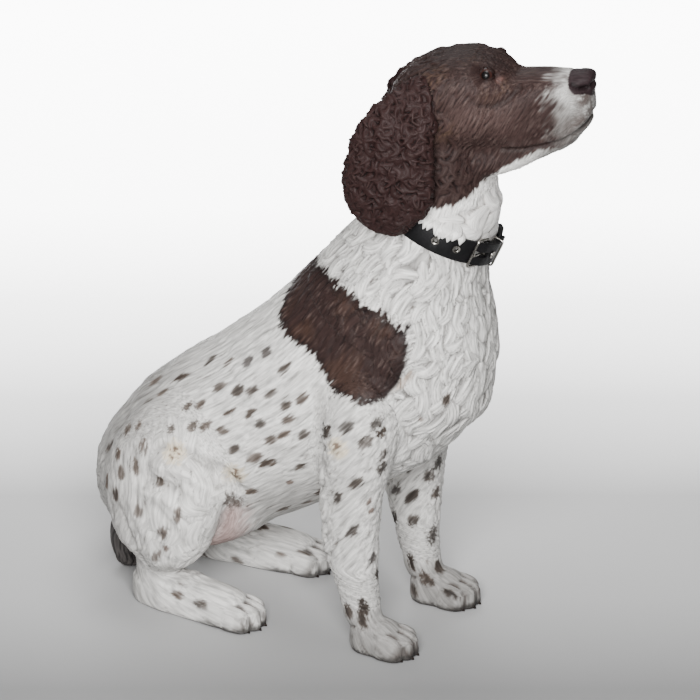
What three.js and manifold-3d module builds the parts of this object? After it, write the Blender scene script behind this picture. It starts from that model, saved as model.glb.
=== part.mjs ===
// A life-size seated spaniel: hollow resin castings bonded over steel bars, glass eyes and a leather collar.
// Millimetres. +X points where the dog's chest faces, +Y to its left, +Z up from the floor.
import * as THREE from "three";
import { mergeVertices } from "three/addons/utils/BufferGeometryUtils.js";
import Module from "manifold-3d";

const wasm = await Module();
wasm.setup();

// General sizes of the castings.
const WALL = 5; // thickness of a moulded shell
const BOND_GAP = 0.3; // glue line between neighbouring pieces
const FAR = 900; // reach of a cutting block, past the whole dog

// The neck: where the collar's middle lies, how far it leans forward and to the left, and its thickness.
const NECK_X = 31;
const NECK_Z = 451;
const NECK_LEAN = 22;
const NECK_ROLL = 12;
const NECK_RADIUS = 56.5;
const NECK_WALL = 14; // the neck is moulded thicker than the rest, to carry the head

// The sleeve inside the neck that lines the head up with the body.
const SLEEVE_LENGTH = 44;
const SLEEVE_WALL = 4;

// The head: the middle of the skull, turned to the dog's left and raised.
const HEAD_X = 48;
const HEAD_Y = 3;
const HEAD_Z = 600;
const HEAD_TURN = 13;
const HEAD_RAISE = 4;
const HEAD_WALL = 9;

// Glass eyes, in the head's own frame: forward, out from the middle, and up from the skull's middle.
const EYE_RADIUS = 8;
const EYE_FORWARD = 35.5;
const EYE_OUT = 25.5;
const EYE_UP = 22.5;

// The legs: half the distance between the feet, and the bars cast into them.
const FORELEG_OUT = 67;
const HIND_FOOT_OUT = 68;
const LEG_BAR_RADIUS = 5;
const FORELEG_BAR_LOW = 30;
const FORELEG_BAR_HIGH = 330;
const HIND_BAR_LOW = 26;
const HIND_BAR_HIGH = 130;
const PAD_THICKNESS = 3;
const PAD_INSET = 5; // how far a pad's edge lies inside the paw's

// Dowels that hold the ears and the tail.
const DOWEL_RADIUS = 3;
const EAR_DOWEL_LENGTH = 24;
const TAIL_DOWEL_LENGTH = 40;

// Glass-fibre tape bonded over the seam between the two body shells.
const TAPE_WIDTH = 36;
const TAPE_THICKNESS = 2.5;

// The collar: one strap with five punched holes, a heel-bar buckle, its prong and a wire keeper.
const STRAP_WIDTH = 25;
const STRAP_THICKNESS = 3;
const STRAP_TIP = 26; // length of the tapered tip
const STRAP_TAIL_TURN = 50; // where the free end stops, from the front of the neck
const HEEL_TURN = -10; // where the buckle's heel bar lies
const FRONT_BAR_TURN = -28.8;
const KEEPER_TURN = 6;
const HOLE_PITCH = 22.6; // distance between punched holes, along the strap
const PRONG_HOLE_TURN = -24.6;
const EYELET_BORE = 2;
const EYELET_BARREL = 2.9;
const EYELET_FLANGE = 4.4;
const EYELET_RIM = 0.8;
const BUCKLE_WIRE = 1.5; // radius of the frame's wire
const BUCKLE_SIDE_GAP = 1.5; // between the strap's edge and the frame
const PRONG_WIRE = 1.3;
const PRONG_LOOP_WIDTH = 5;
const PRONG_OVERHANG = 2.5; // how far the prong reaches past the front bar
const KEEPER_WIRE = 1.2;
const KEEPER_GAP = 0.7; // the keeper's slack round the strap, so that it slides along the curve
const RUN_GAP = 0.4; // clearance of the prong

const SIDES = { right: -1, left: 1 };
const radians = THREE.MathUtils.degToRad;

// Paint and materials.
const paint = (color, roughness, metalness = 0) =>
  new THREE.MeshStandardMaterial({ color, roughness, metalness });
const WHITE_COAT = paint(0xd9d8d2, 0.62);
const BROWN_COAT = paint(0x38261f, 0.55);
const DARK_TAIL = paint(0x2b2624, 0.6);
const EYE_GLASS = paint(0x3a1a10, 0.08);
const BLACK_LEATHER = paint(0x17171a, 0.45);
const NICKEL = paint(0xb9b5b0, 0.3, 1);
const STEEL = paint(0x77797c, 0.5, 1);
const WOOD = paint(0xb08d5c, 0.7);
const CARD = paint(0x9c8260, 0.85);
const GLASS_FIBRE = paint(0xc9c2a4, 0.6);
const RUBBER = paint(0x1d1c1b, 0.85);

// Solids from geometries and back.
function solid(geometry) {
  const bare = geometry.clone();
  bare.deleteAttribute("normal");
  bare.deleteAttribute("uv");
  const merged = mergeVertices(bare, 1e-4);
  const vertProperties = merged.attributes.position.array;
  return new wasm.Manifold(
    new wasm.Mesh({ numProp: 3, vertProperties, triVerts: new Uint32Array(merged.index.array) }),
  );
}

function geometryOf(made) {
  const mesh = made.getMesh();
  return new THREE.BufferGeometry()
    .setAttribute("position", new THREE.BufferAttribute(new Float32Array(mesh.vertProperties), 3))
    .setIndex(new THREE.BufferAttribute(new Uint32Array(mesh.triVerts), 1));
}

const join = (...solids) => solids.reduce((whole, piece) => whole.add(piece));
const cut = (whole, ...tools) => tools.reduce((left, tool) => left.subtract(tool), whole);
const keep = (whole, ...tools) => tools.reduce((left, tool) => left.intersect(tool), whole);

// A round-ended form along a path that runs from head to tail or from top to toe: a sphere whose rings are
// moved to the stations. back is the half depth towards the dog's back or rear, front the half depth ahead.
function form(stations, { sides = 20, rings = 14, square = 2, round = 0.12, grow = 0 } = {}) {
  const path = new THREE.CatmullRomCurve3(stations.map((s) => new THREE.Vector3(s.x, s.y ?? 0, s.z)));
  const girth = new THREE.CatmullRomCurve3(stations.map((s) => new THREE.Vector3(s.wide, s.back, s.front)));
  const ball = new THREE.SphereGeometry(1, sides, rings);
  const points = ball.attributes.position;
  const soften = (x) => Math.sign(x) * Math.abs(x) ** (2 / square);
  for (let i = 0; i < points.count; i++) {
    const along = (1 - points.getY(i)) / 2;
    const spread = Math.hypot(points.getX(i), points.getZ(i)) || 1;
    const across = soften(points.getX(i) / spread);
    const deep = soften(points.getZ(i) / spread);
    const fromEnd = Math.min(along, 1 - along) / round;
    const atPole = Math.hypot(points.getX(i), points.getZ(i)) < 1e-6;
    const cap = atPole ? 0 : Math.sqrt(1 - Math.max(0, 1 - fromEnd) ** 2);
    const tangent = path.getTangent(along);
    const side = new THREE.Vector3(0, 1, 0).addScaledVector(tangent, -tangent.y).normalize();
    const frontward = new THREE.Vector3().crossVectors(tangent, side);
    const size = girth.getPoint(along).addScalar(grow);
    const spot = path
      .getPoint(along)
      .addScaledVector(tangent, grow * (2 * along - 1))
      .addScaledVector(side, size.x * across * cap)
      .addScaledVector(frontward, (deep > 0 ? size.z : size.y) * deep * cap);
    points.setXYZ(i, spot.x, spot.y, spot.z);
  }
  return ball;
}

const onSide = (stations, side) => stations.map((s) => ({ ...s, y: side * (s.y ?? 0) }));

// A block that fills one side of a plane through point, on the side that normal points to.
function halfSpace(point, normal) {
  const block = new THREE.BoxGeometry(2 * FAR, 2 * FAR, 2 * FAR);
  block.translate(0, 0, FAR);
  block.applyQuaternion(new THREE.Quaternion().setFromUnitVectors(new THREE.Vector3(0, 0, 1), normal));
  return solid(block.translate(point.x, point.y, point.z));
}

// A bar from one point to another.
function bar(from, to, radius, sides = 12) {
  const run = new THREE.Vector3().subVectors(to, from);
  const rod = new THREE.CylinderGeometry(radius, radius, run.length(), sides);
  rod.applyQuaternion(new THREE.Quaternion().setFromUnitVectors(new THREE.Vector3(0, 1, 0), run.normalize()));
  const middle = new THREE.Vector3().addVectors(from, to).multiplyScalar(0.5);
  return rod.translate(middle.x, middle.y, middle.z);
}

const root = new THREE.Group();
const dog = new THREE.Group();
root.add(dog);

function add(name, shape, material, parent = dog) {
  const geometry = shape.isBufferGeometry ? shape : geometryOf(shape);
  geometry.computeVertexNormals();
  const mesh = new THREE.Mesh(geometry, material);
  mesh.name = name;
  parent.add(mesh);
  return mesh;
}

// Frames of the neck and the head.
const neckCentre = new THREE.Vector3(NECK_X, 0, NECK_Z);
const neckFrame = new THREE.Matrix4()
  .makeRotationFromEuler(new THREE.Euler(-radians(NECK_ROLL), radians(NECK_LEAN), 0, "XYZ"))
  .setPosition(neckCentre);
const neckAxis = new THREE.Vector3(0, 0, 1).transformDirection(neckFrame);
const headFrame = new THREE.Matrix4()
  .makeRotationFromEuler(new THREE.Euler(0, -radians(HEAD_RAISE), radians(HEAD_TURN), "ZYX"))
  .setPosition(HEAD_X, HEAD_Y, HEAD_Z);

function neckStation(up, size) {
  const at = neckCentre.clone().addScaledVector(neckAxis, up);
  return { x: at.x, y: at.y, z: at.z, wide: size, back: size, front: size };
}

// Body shells: the trunk from the neck to the rump, and a thigh on each side.
const TRUNK = [
  neckStation(30, NECK_RADIUS),
  neckStation(0, NECK_RADIUS),
  { x: 7, z: 414, wide: 68, back: 70, front: 76 },
  { x: -16, z: 366, wide: 85, back: 86, front: 112 },
  { x: -46, z: 306, wide: 94, back: 101, front: 134 },
  { x: -96, z: 256, wide: 97, back: 98, front: 119 },
  { x: -165, z: 206, wide: 91, back: 91, front: 107 },
  { x: -230, z: 158, wide: 93, back: 90, front: 97 },
  { x: -288, z: 104, wide: 82, back: 75, front: 74 },
  { x: -330, z: 60, wide: 52, back: 40, front: 38 },
];
const THIGH = [
  { x: -250, y: 48, z: 226, wide: 28, back: 44, front: 46 },
  { x: -238, y: 74, z: 176, wide: 34, back: 68, front: 62 },
  { x: -230, y: 85, z: 144, wide: 33, back: 74, front: 62 },
  { x: -236, y: 84, z: 110, wide: 31, back: 69, front: 48 },
  { x: -248, y: 78, z: 74, wide: 28, back: 54, front: 40 },
  { x: -258, y: 70, z: 46, wide: 20, back: 30, front: 30 },
];
const trunkOf = (grow, sides, rings) => solid(form(TRUNK, { sides, rings, grow, round: 0.1 }));
const thighOf = (side, grow, sides, rings) =>
  solid(form(onSide(THIGH, side), { sides, rings, grow, round: 0.2, square: 2.3 }));
const bodyOf = (grow, sides, rings) =>
  join(
    trunkOf(grow, sides, rings),
    ...Object.values(SIDES).map((side) => thighOf(side, grow, sides - 8, Math.round(rings * 0.55))),
  );

const bodyOutside = bodyOf(0, 26, 20);
const bodyInside = bodyOf(-WALL, 18, 12);
const bodyClearance = bodyOf(BOND_GAP, 26, 20);

const floorBlock = halfSpace(new THREE.Vector3(0, 0, PAD_THICKNESS + BOND_GAP), new THREE.Vector3(0, 0, -1));
const alongNeck = (up) => neckCentre.clone().addScaledVector(neckAxis, up);
const aboveNeck = halfSpace(alongNeck(-BOND_GAP / 2), neckAxis);
const belowNeck = halfSpace(alongNeck(BOND_GAP / 2), neckAxis.clone().negate());
const solidNeck = halfSpace(alongNeck(-SLEEVE_LENGTH / 2 - BOND_GAP), neckAxis);

// The collar's groove round the neck, with a deeper pocket behind the buckle.
const strapInside = NECK_RADIUS + BOND_GAP;
const pocketDepth = 2 * BUCKLE_WIRE + RUN_GAP + 0.6;
const frameHalf = STRAP_WIDTH / 2 + BUCKLE_SIDE_GAP + BUCKLE_WIRE;

function ringSector(inner, outer, halfHeight, startTurn, turn, steps) {
  const profile = [
    new THREE.Vector2(inner, -halfHeight),
    new THREE.Vector2(outer, -halfHeight),
    new THREE.Vector2(outer, halfHeight),
    new THREE.Vector2(inner, halfHeight),
    new THREE.Vector2(inner, -halfHeight),
  ];
  const ring = new THREE.LatheGeometry(profile, steps);
  ring.rotateX(Math.PI / 2);
  const whole = solid(ring);
  if (turn >= 360) return whole;
  const middle = radians(startTurn + turn / 2);
  const wedge = new THREE.Shape();
  wedge.moveTo(0, 0);
  const reach = 3 * outer;
  wedge.lineTo(reach * Math.cos(radians(startTurn)), reach * Math.sin(radians(startTurn)));
  wedge.lineTo(reach * Math.cos(middle), reach * Math.sin(middle));
  wedge.lineTo(reach * Math.cos(radians(startTurn + turn)), reach * Math.sin(radians(startTurn + turn)));
  const prism = new THREE.ExtrudeGeometry(wedge, { depth: 4 * halfHeight, bevelEnabled: false });
  return whole.intersect(solid(prism.translate(0, 0, -2 * halfHeight)));
}

const placed = (made, frame) => solid(geometryOf(made).applyMatrix4(frame));
const grooveHalf = STRAP_WIDTH / 2 + BOND_GAP;
const groove = placed(ringSector(NECK_RADIUS, 2 * NECK_RADIUS, grooveHalf, 0, 360, 48), neckFrame);
const strapOutside = strapInside + STRAP_THICKNESS;
const strapRing = placed(
  ringSector(NECK_RADIUS - WALL, strapOutside + BOND_GAP, grooveHalf, 0, 360, 48),
  neckFrame,
);
const pocketStart = FRONT_BAR_TURN - 8;
const pocketTurn = KEEPER_TURN + 10 - pocketStart;
const pocketHalf = frameHalf + BUCKLE_WIRE + RUN_GAP;
const pocket = placed(
  ringSector(NECK_RADIUS - pocketDepth, 2 * NECK_RADIUS, pocketHalf, pocketStart, pocketTurn, 48),
  neckFrame,
);

// The sleeve fills a bore through the neck of the body and of the head.
const sleeveRadius = NECK_RADIUS - NECK_WALL;
const sleeveEnd = (end, extra) => alongNeck(end * (SLEEVE_LENGTH / 2 + extra));
const sleeveBar = (radius, extra) => solid(bar(sleeveEnd(-1, extra), sleeveEnd(1, extra), radius, 32));
const sleeveBore = sleeveBar(sleeveRadius + BOND_GAP, 2 * BOND_GAP);
add("neck_sleeve", cut(sleeveBar(sleeveRadius, 0), sleeveBar(sleeveRadius - SLEEVE_WALL, WALL)), CARD);

// Steel bars, cast into the legs and standing in the body.
const FORELEG = [
  { x: -18, y: FORELEG_OUT + 2, z: 318, wide: 26, back: 34, front: 32 },
  { x: -24, y: FORELEG_OUT + 9, z: 240, wide: 31, back: 40, front: 41 },
  { x: -30, y: FORELEG_OUT + 5, z: 168, wide: 24, back: 35, front: 28 },
  { x: -29, y: FORELEG_OUT + 2, z: 100, wide: 20, back: 32, front: 21 },
  { x: -25, y: FORELEG_OUT, z: 54, wide: 17.5, back: 23, front: 17 },
  { x: -19, y: FORELEG_OUT, z: 14, wide: 19, back: 19, front: 19 },
];
const CRUS = [
  { x: -226, y: HIND_FOOT_OUT + 14, z: 100, wide: 18, back: 24, front: 18 },
  { x: -246, y: HIND_FOOT_OUT + 5, z: 64, wide: 21, back: 26, front: 22 },
  { x: -266, y: HIND_FOOT_OUT - 6, z: 26, wide: 18, back: 19, front: 20 },
];
const legBar = (low, high, side, radius) =>
  bar(
    new THREE.Vector3(low.x, side * low.y, low.z),
    new THREE.Vector3(high.x, side * high.y, high.z),
    radius,
  );
const forelegBar = (side, extra) =>
  legBar(
    { x: -25, y: FORELEG_OUT, z: FORELEG_BAR_LOW - extra },
    { x: -25, y: FORELEG_OUT, z: FORELEG_BAR_HIGH + extra },
    side,
    LEG_BAR_RADIUS + extra,
  );
const hindBar = (side, extra) =>
  legBar(
    { x: -252, y: HIND_FOOT_OUT + 2, z: HIND_BAR_LOW - extra },
    { x: -236, y: HIND_FOOT_OUT + 12, z: HIND_BAR_HIGH + extra },
    side,
    LEG_BAR_RADIUS + extra,
  );
const barBores = Object.values(SIDES).flatMap((side) => [
  solid(forelegBar(side, BOND_GAP)),
  solid(hindBar(side, BOND_GAP)),
]);

// The tail, a docked stub on the floor behind the rump, and the dowel that holds it.
const TAIL = [
  { x: -302, z: 72, wide: 17, back: 17, front: 17 },
  { x: -324, z: 47, wide: 18, back: 17, front: 17 },
  { x: -326, z: 24, wide: 17, back: 15, front: 16 },
  { x: -317, z: 0, wide: 14, back: 12, front: 13 },
];
const tailDowel = (extra) => {
  const middle = new THREE.Vector3(TAIL[1].x, 0, TAIL[1].z);
  const inward = new THREE.Vector3(TAIL[0].x - TAIL[2].x, 0, TAIL[0].z - TAIL[2].z).normalize();
  const half = TAIL_DOWEL_LENGTH / 2 + extra;
  return bar(
    middle.clone().addScaledVector(inward, half),
    middle.clone().addScaledVector(inward, -half),
    DOWEL_RADIUS + extra,
  );
};
add("tail_dowel", tailDowel(0), WOOD);
add(
  "tail",
  cut(
    solid(form(TAIL, { sides: 14, rings: 12, round: 0.2 })),
    bodyClearance,
    floorBlock,
    solid(tailDowel(BOND_GAP)),
  ),
  DARK_TAIL,
);

// The two body shells, parted on the mid plane, and the tape over their seam.
const bodyHollow = join(cut(bodyInside, solidNeck), sleeveBore);
const body = cut(
  bodyOutside,
  bodyHollow,
  aboveNeck,
  groove,
  pocket,
  floorBlock,
  ...barBores,
  solid(tailDowel(BOND_GAP)),
);
for (const [name, side] of Object.entries(SIDES)) {
  const half = halfSpace(new THREE.Vector3(0, (side * BOND_GAP) / 2, 0), new THREE.Vector3(0, side, 0));
  add(`body_${name}_shell`, keep(body, half), WHITE_COAT);
}
const tapeBlock = solid(new THREE.BoxGeometry(2 * FAR, TAPE_WIDTH, 4 * FAR));
const tapeNeck = halfSpace(sleeveEnd(-1, WALL), neckAxis);
add(
  "seam_tape",
  cut(
    keep(trunkOf(-WALL - BOND_GAP, 18, 12), tapeBlock),
    trunkOf(-WALL - BOND_GAP - TAPE_THICKNESS, 18, 12),
    tapeNeck,
    solid(tailDowel(BOND_GAP)),
  ),
  GLASS_FIBRE,
);

// Paws: a rounded foot with four toes, cut flat above its floor pad.
const TOE_SPREAD = [-0.72, -0.25, 0.25, 0.72];
function toes(paw, side) {
  return TOE_SPREAD.map((share) => {
    const y = side * paw.out + share * paw.halfWidth;
    const reach = paw.tip - paw.toeReach * share * share;
    return solid(
      form(
        [
          { x: reach, y: y * 1.01, z: paw.toeHigh * 0.42, wide: 7, back: 8, front: 9 },
          { x: reach - 14, y, z: paw.toeHigh * 0.55, wide: 8.6, back: 12, front: 14 },
          { x: reach - 34, y, z: paw.toeHigh * 0.6, wide: 8, back: 12, front: 13 },
        ],
        { sides: 8, rings: 6, round: 0.3 },
      ),
    );
  });
}
const FORE_PAW = { out: FORELEG_OUT + 2, halfWidth: 23, tip: 37, toeReach: 16, toeHigh: 25 };
const HIND_PAW = { out: HIND_FOOT_OUT + 8, halfWidth: 24, tip: -131, toeReach: 16, toeHigh: 25 };
const FORE_FOOT = [
  { x: 22, y: FORE_PAW.out, z: 13, wide: 17, back: 11, front: 18 },
  { x: 2, y: FORE_PAW.out, z: 17, wide: 22, back: 17, front: 24 },
  { x: -20, y: FORELEG_OUT, z: 17, wide: 21, back: 19, front: 24 },
  { x: -37, y: FORELEG_OUT, z: 14, wide: 16, back: 12, front: 20 },
];
const HIND_FOOT = [
  { x: -148, y: HIND_PAW.out, z: 13, wide: 17, back: 11, front: 18 },
  { x: -170, y: HIND_PAW.out, z: 17, wide: 23, back: 18, front: 24 },
  { x: -205, y: HIND_FOOT_OUT + 4, z: 20, wide: 21, back: 20, front: 28 },
  { x: -245, y: HIND_FOOT_OUT - 1, z: 22, wide: 20, back: 22, front: 30 },
  { x: -286, y: HIND_FOOT_OUT - 6, z: 20, wide: 15, back: 18, front: 28 },
];
for (const [name, side] of Object.entries(SIDES)) {
  add(`foreleg_bar_${name}`, forelegBar(side, 0), STEEL);
  add(`hind_bar_${name}`, hindBar(side, 0), STEEL);
  const foreleg = join(
    solid(form(onSide(FORELEG, side), { sides: 16, rings: 14, round: 0.14 })),
    solid(form(onSide(FORE_FOOT, side), { sides: 16, rings: 8, round: 0.3 })),
    ...toes(FORE_PAW, side),
  );
  add(`foreleg_${name}`, cut(foreleg, bodyClearance, floorBlock, ...barBores), WHITE_COAT);
  const hindLeg = join(
    solid(form(onSide(CRUS, side), { sides: 16, rings: 10, round: 0.2 })),
    solid(form(onSide(HIND_FOOT, side), { sides: 16, rings: 12, round: 0.16 })),
    ...toes(HIND_PAW, side),
  );
  add(`hind_leg_${name}`, cut(hindLeg, bodyClearance, floorBlock, ...barBores), WHITE_COAT);
}

// Floor pads of dark rubber, a little smaller than the soles they are bonded to.
function pad(foot, paw) {
  const front = paw.tip - 2 * PAD_INSET;
  const rear = (foot.at(-1).x + foot.at(-2).x) / 2;
  const outline = new THREE.Shape();
  outline.absellipse(0, 0, (front - rear) / 2, paw.halfWidth - 1.4 * PAD_INSET, 0, 2 * Math.PI);
  const sole = new THREE.ExtrudeGeometry(outline, {
    depth: PAD_THICKNESS,
    bevelEnabled: false,
    curveSegments: 14,
  });
  return { sole, x: (front + rear) / 2 };
}
for (const [name, side] of Object.entries(SIDES)) {
  const fore = pad(FORE_FOOT, FORE_PAW);
  add(`pad_front_${name}`, fore.sole, RUBBER).position.set(fore.x, side * FORE_PAW.out, 0);
  const hind = pad(HIND_FOOT, HIND_PAW);
  add(`pad_hind_${name}`, hind.sole, RUBBER).position.set(hind.x, side * HIND_FOOT_OUT, 0);
}

// The head: skull, muzzle, nose, lower jaw and brows in the head's own frame, on the upper neck.
const SKULL = [
  { x: 70, z: 0, wide: 24, back: 16, front: 30 },
  { x: 46, z: 0, wide: 36, back: 31, front: 50 },
  { x: 16, z: -3, wide: 49, back: 42.5, front: 60 },
  { x: -16, z: -8, wide: 52, back: 41, front: 60 },
  { x: -46, z: -18, wide: 47, back: 33, front: 50 },
  { x: -70, z: -30, wide: 30, back: 18, front: 34 },
];
const MUZZLE = [
  { x: 138, z: -4, wide: 18, back: 19, front: 22 },
  { x: 124, z: -6, wide: 25, back: 26, front: 36 },
  { x: 104, z: -9, wide: 29, back: 29, front: 45 },
  { x: 74, z: -13, wide: 32, back: 33, front: 52 },
  { x: 44, z: -17, wide: 38, back: 30, front: 56 },
  { x: 14, z: -20, wide: 40, back: 20, front: 50 },
];
const NOSE = [
  { x: 141, z: 12, wide: 11, back: 9, front: 9 },
  { x: 131, z: 10, wide: 14, back: 11, front: 13 },
  { x: 116, z: 7, wide: 12, back: 10, front: 12 },
];
const JAW = [
  { x: 122, z: -42, wide: 15, back: 14, front: 10 },
  { x: 104, z: -50, wide: 20, back: 22, front: 12 },
  { x: 70, z: -62, wide: 26, back: 32, front: 15 },
  { x: 36, z: -74, wide: 34, back: 40, front: 18 },
  { x: -4, z: -84, wide: 40, back: 44, front: 20 },
];
const BROW = [
  { x: 59, y: 14, z: 6, wide: 8, back: 6, front: 8 },
  { x: 46, y: 20, z: 16, wide: 10, back: 7, front: 10 },
  { x: 26, y: 28, z: 21, wide: 10, back: 7, front: 10 },
];
// The upper neck: its stations lie at shares of the rise from the collar to the skull's middle.
const NECK_RISE = HEAD_Z - NECK_Z;
const UPPER_NECK = [
  {
    x: HEAD_X - 1,
    y: HEAD_Y,
    z: NECK_Z + 0.804 * NECK_RISE,
    wide: NECK_RADIUS - 12.5,
    back: NECK_RADIUS - 8.5,
    front: NECK_RADIUS - 21.5,
  },
  {
    x: HEAD_X - 6,
    y: HEAD_Y / 3,
    z: NECK_Z + 0.44 * NECK_RISE,
    wide: NECK_RADIUS - 4.5,
    back: NECK_RADIUS + 3.5,
    front: NECK_RADIUS - 15.5,
  },
  {
    x: NECK_X + 10,
    z: NECK_Z + 0.16 * NECK_RISE,
    wide: NECK_RADIUS - 4,
    back: NECK_RADIUS,
    front: NECK_RADIUS - 10,
  },
  neckStation(0, NECK_RADIUS),
  neckStation(-30, NECK_RADIUS),
];
const inHead = (geometry) => solid(geometry.applyMatrix4(headFrame));
const headOf = (grow, sides, rings) =>
  join(
    inHead(form(SKULL, { sides, rings, grow, round: 0.22, square: 2.7 })),
    inHead(form(MUZZLE, { sides: sides - 4, rings: rings - 2, grow, square: 2.5, round: 0.16 })),
    inHead(form(NOSE, { sides: 12, rings: 8, grow, square: 2.5, round: 0.25 })),
    inHead(form(JAW, { sides: sides - 8, rings: rings - 4, grow, round: 0.2 })),
    ...Object.values(SIDES).map((side) =>
      inHead(form(onSide(BROW, side), { sides: 10, rings: 8, grow, round: 0.4 })),
    ),
    solid(form(UPPER_NECK, { sides, rings, grow, round: 0.12 })),
  );
const eyeball = (radius) => new THREE.SphereGeometry(radius, 16, 10);
const eyePlace = (side) => new THREE.Vector3(EYE_FORWARD, side * EYE_OUT, EYE_UP);

// Ears hang from the back of the skull, each on a dowel; the left one hangs lower.
const LEFT_EAR_DROP = 9;
const EAR = [
  { x: -22, y: 38, z: 27, wide: 7, back: 15, front: 11 },
  { x: -31, y: 50, z: 4, wide: 10, back: 29, front: 22 },
  { x: -40, y: 60, z: -16, wide: 12, back: 38, front: 32 },
  { x: -50, y: 67, z: -34, wide: 13, back: 45, front: 38 },
  { x: -61, y: 69, z: -84, wide: 14, back: 50, front: 47 },
  { x: -64, y: 68, z: -116, wide: 13, back: 36, front: 36 },
  { x: -63, y: 66, z: -136, wide: 9, back: 16, front: 18 },
];
const earOn = (side) => onSide(EAR, side).map((s) => ({ ...s, z: s.z - (side > 0 ? LEFT_EAR_DROP : 0) }));
const earDowel = (side, extra) => {
  const half = EAR_DOWEL_LENGTH / 2 + extra;
  const root = earOn(side)[2];
  const inner = new THREE.Vector3(root.x, root.y - side * (6 + half), root.z);
  const outer = new THREE.Vector3(root.x, root.y - side * (6 - half), root.z);
  return bar(inner, outer, DOWEL_RADIUS + extra);
};
const headOutside = headOf(0, 20, 12);
const headClearance = headOf(BOND_GAP, 20, 12);
const dowelBores = Object.values(SIDES).map((side) => inHead(earDowel(side, BOND_GAP)));
const sockets = Object.values(SIDES).map((side) => {
  const at = eyePlace(side);
  return inHead(eyeball(EYE_RADIUS + BOND_GAP).translate(at.x, at.y, at.z));
});
const headHollow = join(
  inHead(form(SKULL.slice(1), { sides: 16, rings: 10, grow: -HEAD_WALL, round: 0.22 })),
  cut(solid(form(UPPER_NECK, { sides: 16, rings: 10, grow: -NECK_WALL - WALL, round: 0.12 })), belowNeck),
  sleeveBore,
);
const headTools = [headHollow, belowNeck, groove, pocket, ...sockets, ...dowelBores];
add("head_casting", cut(headOutside, ...headTools), BROWN_COAT);
for (const [name, side] of Object.entries(SIDES)) {
  const ear = inHead(form(earOn(side), { sides: 16, rings: 14, round: 0.16, square: 2.3 }));
  add(`ear_${name}`, cut(ear, headClearance, bodyClearance, strapRing, ...dowelBores), BROWN_COAT);
  add(`ear_dowel_${name}`, earDowel(side, 0).applyMatrix4(headFrame), WOOD);
  add(`eye_${name}`, eyeball(EYE_RADIUS), EYE_GLASS).position.copy(eyePlace(side).applyMatrix4(headFrame));
}

// The collar, in the neck's own frame: the front of the neck is turn 0, and turns grow towards the left.
const collar = new THREE.Group();
collar.applyMatrix4(neckFrame);
dog.add(collar);
const strapRadius = strapInside + STRAP_THICKNESS / 2;
const turnOf = (length) => THREE.MathUtils.radToDeg(length / strapRadius);
const onNeck = (radius, turn) =>
  new THREE.Vector2(radius * Math.cos(radians(turn)), radius * Math.sin(radians(turn)));
const layerLift = STRAP_THICKNESS + RUN_GAP;

// The strap starts at the heel bar, goes round the neck, climbs through the buckle and lies over its start.
const climbStart = 360 + FRONT_BAR_TURN - 2;
const climbEnd = 360 + HEEL_TURN - 4;
const strapLift = (turn) => layerLift * THREE.MathUtils.smoothstep(turn, climbStart, climbEnd);
function strapBand() {
  const turns = [];
  for (let turn = HEEL_TURN; turn < climbStart; turn += 9) turns.push(turn);
  for (let turn = climbStart; turn < climbEnd; turn += 3) turns.push(turn);
  for (let turn = climbEnd; turn < 360 + STRAP_TAIL_TURN; turn += 6) turns.push(turn);
  turns.push(360 + STRAP_TAIL_TURN);
  const inner = turns.map((turn) => onNeck(strapInside + strapLift(turn), turn));
  const outer = turns.map((turn) => onNeck(strapInside + strapLift(turn) + STRAP_THICKNESS, turn));
  const band = new THREE.ExtrudeGeometry(new THREE.Shape([...outer, ...inner.reverse()]), {
    depth: STRAP_WIDTH,
    bevelEnabled: false,
  });
  return solid(band.translate(0, 0, -STRAP_WIDTH / 2));
}

// A tool that stands on the strap at a turn, with its own X pointing out from the neck and Y along the strap.
const standOn = (geometry, turn, radius) =>
  geometry.translate(radius, 0, 0).applyMatrix4(new THREE.Matrix4().makeRotationZ(radians(turn)));

const heelBore = BUCKLE_WIRE + 2 * RUN_GAP;
const knuckleRadius = pocketDepth - 0.6;
const heelAt = strapInside;
const knuckle = (radius, height) => {
  const roll = new THREE.CylinderGeometry(radius, radius, height, 20).rotateX(Math.PI / 2);
  return solid(standOn(roll, HEEL_TURN, heelAt));
};
const prongSlotLength = HEEL_TURN - FRONT_BAR_TURN;
const prongSlot = () => {
  const length = (prongSlotLength * Math.PI * strapRadius) / 180;
  const slot = new THREE.BoxGeometry(30, length, PRONG_LOOP_WIDTH + 2 * RUN_GAP);
  return solid(standOn(slot, (HEEL_TURN + FRONT_BAR_TURN) / 2 + 2, strapRadius + 13));
};
const loopNotch = () => {
  const notch = new THREE.BoxGeometry(40, 2 * knuckleRadius + 2 * RUN_GAP, PRONG_LOOP_WIDTH + 2 * RUN_GAP);
  const upTo = heelAt + STRAP_THICKNESS + RUN_GAP / 2 - 20;
  return solid(standOn(notch, HEEL_TURN, upTo));
};
const freeTip = () => {
  const corners = [-1, 1].map((side) => {
    const corner = new THREE.Shape();
    corner.moveTo(0, (side * STRAP_WIDTH) / 2);
    corner.lineTo(STRAP_TIP, (side * STRAP_WIDTH) / 2);
    corner.lineTo(STRAP_TIP, side);
    const block = new THREE.ExtrudeGeometry(corner, { depth: 30, bevelEnabled: false });
    const length = turnOf(STRAP_TIP);
    block.applyMatrix4(new THREE.Matrix4().makeBasis(
      new THREE.Vector3(0, 1, 0), new THREE.Vector3(0, 0, 1), new THREE.Vector3(1, 0, 0)));
    return solid(standOn(block, STRAP_TAIL_TURN - length, strapInside + STRAP_THICKNESS + RUN_GAP / 2));
  });
  return corners;
};

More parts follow.
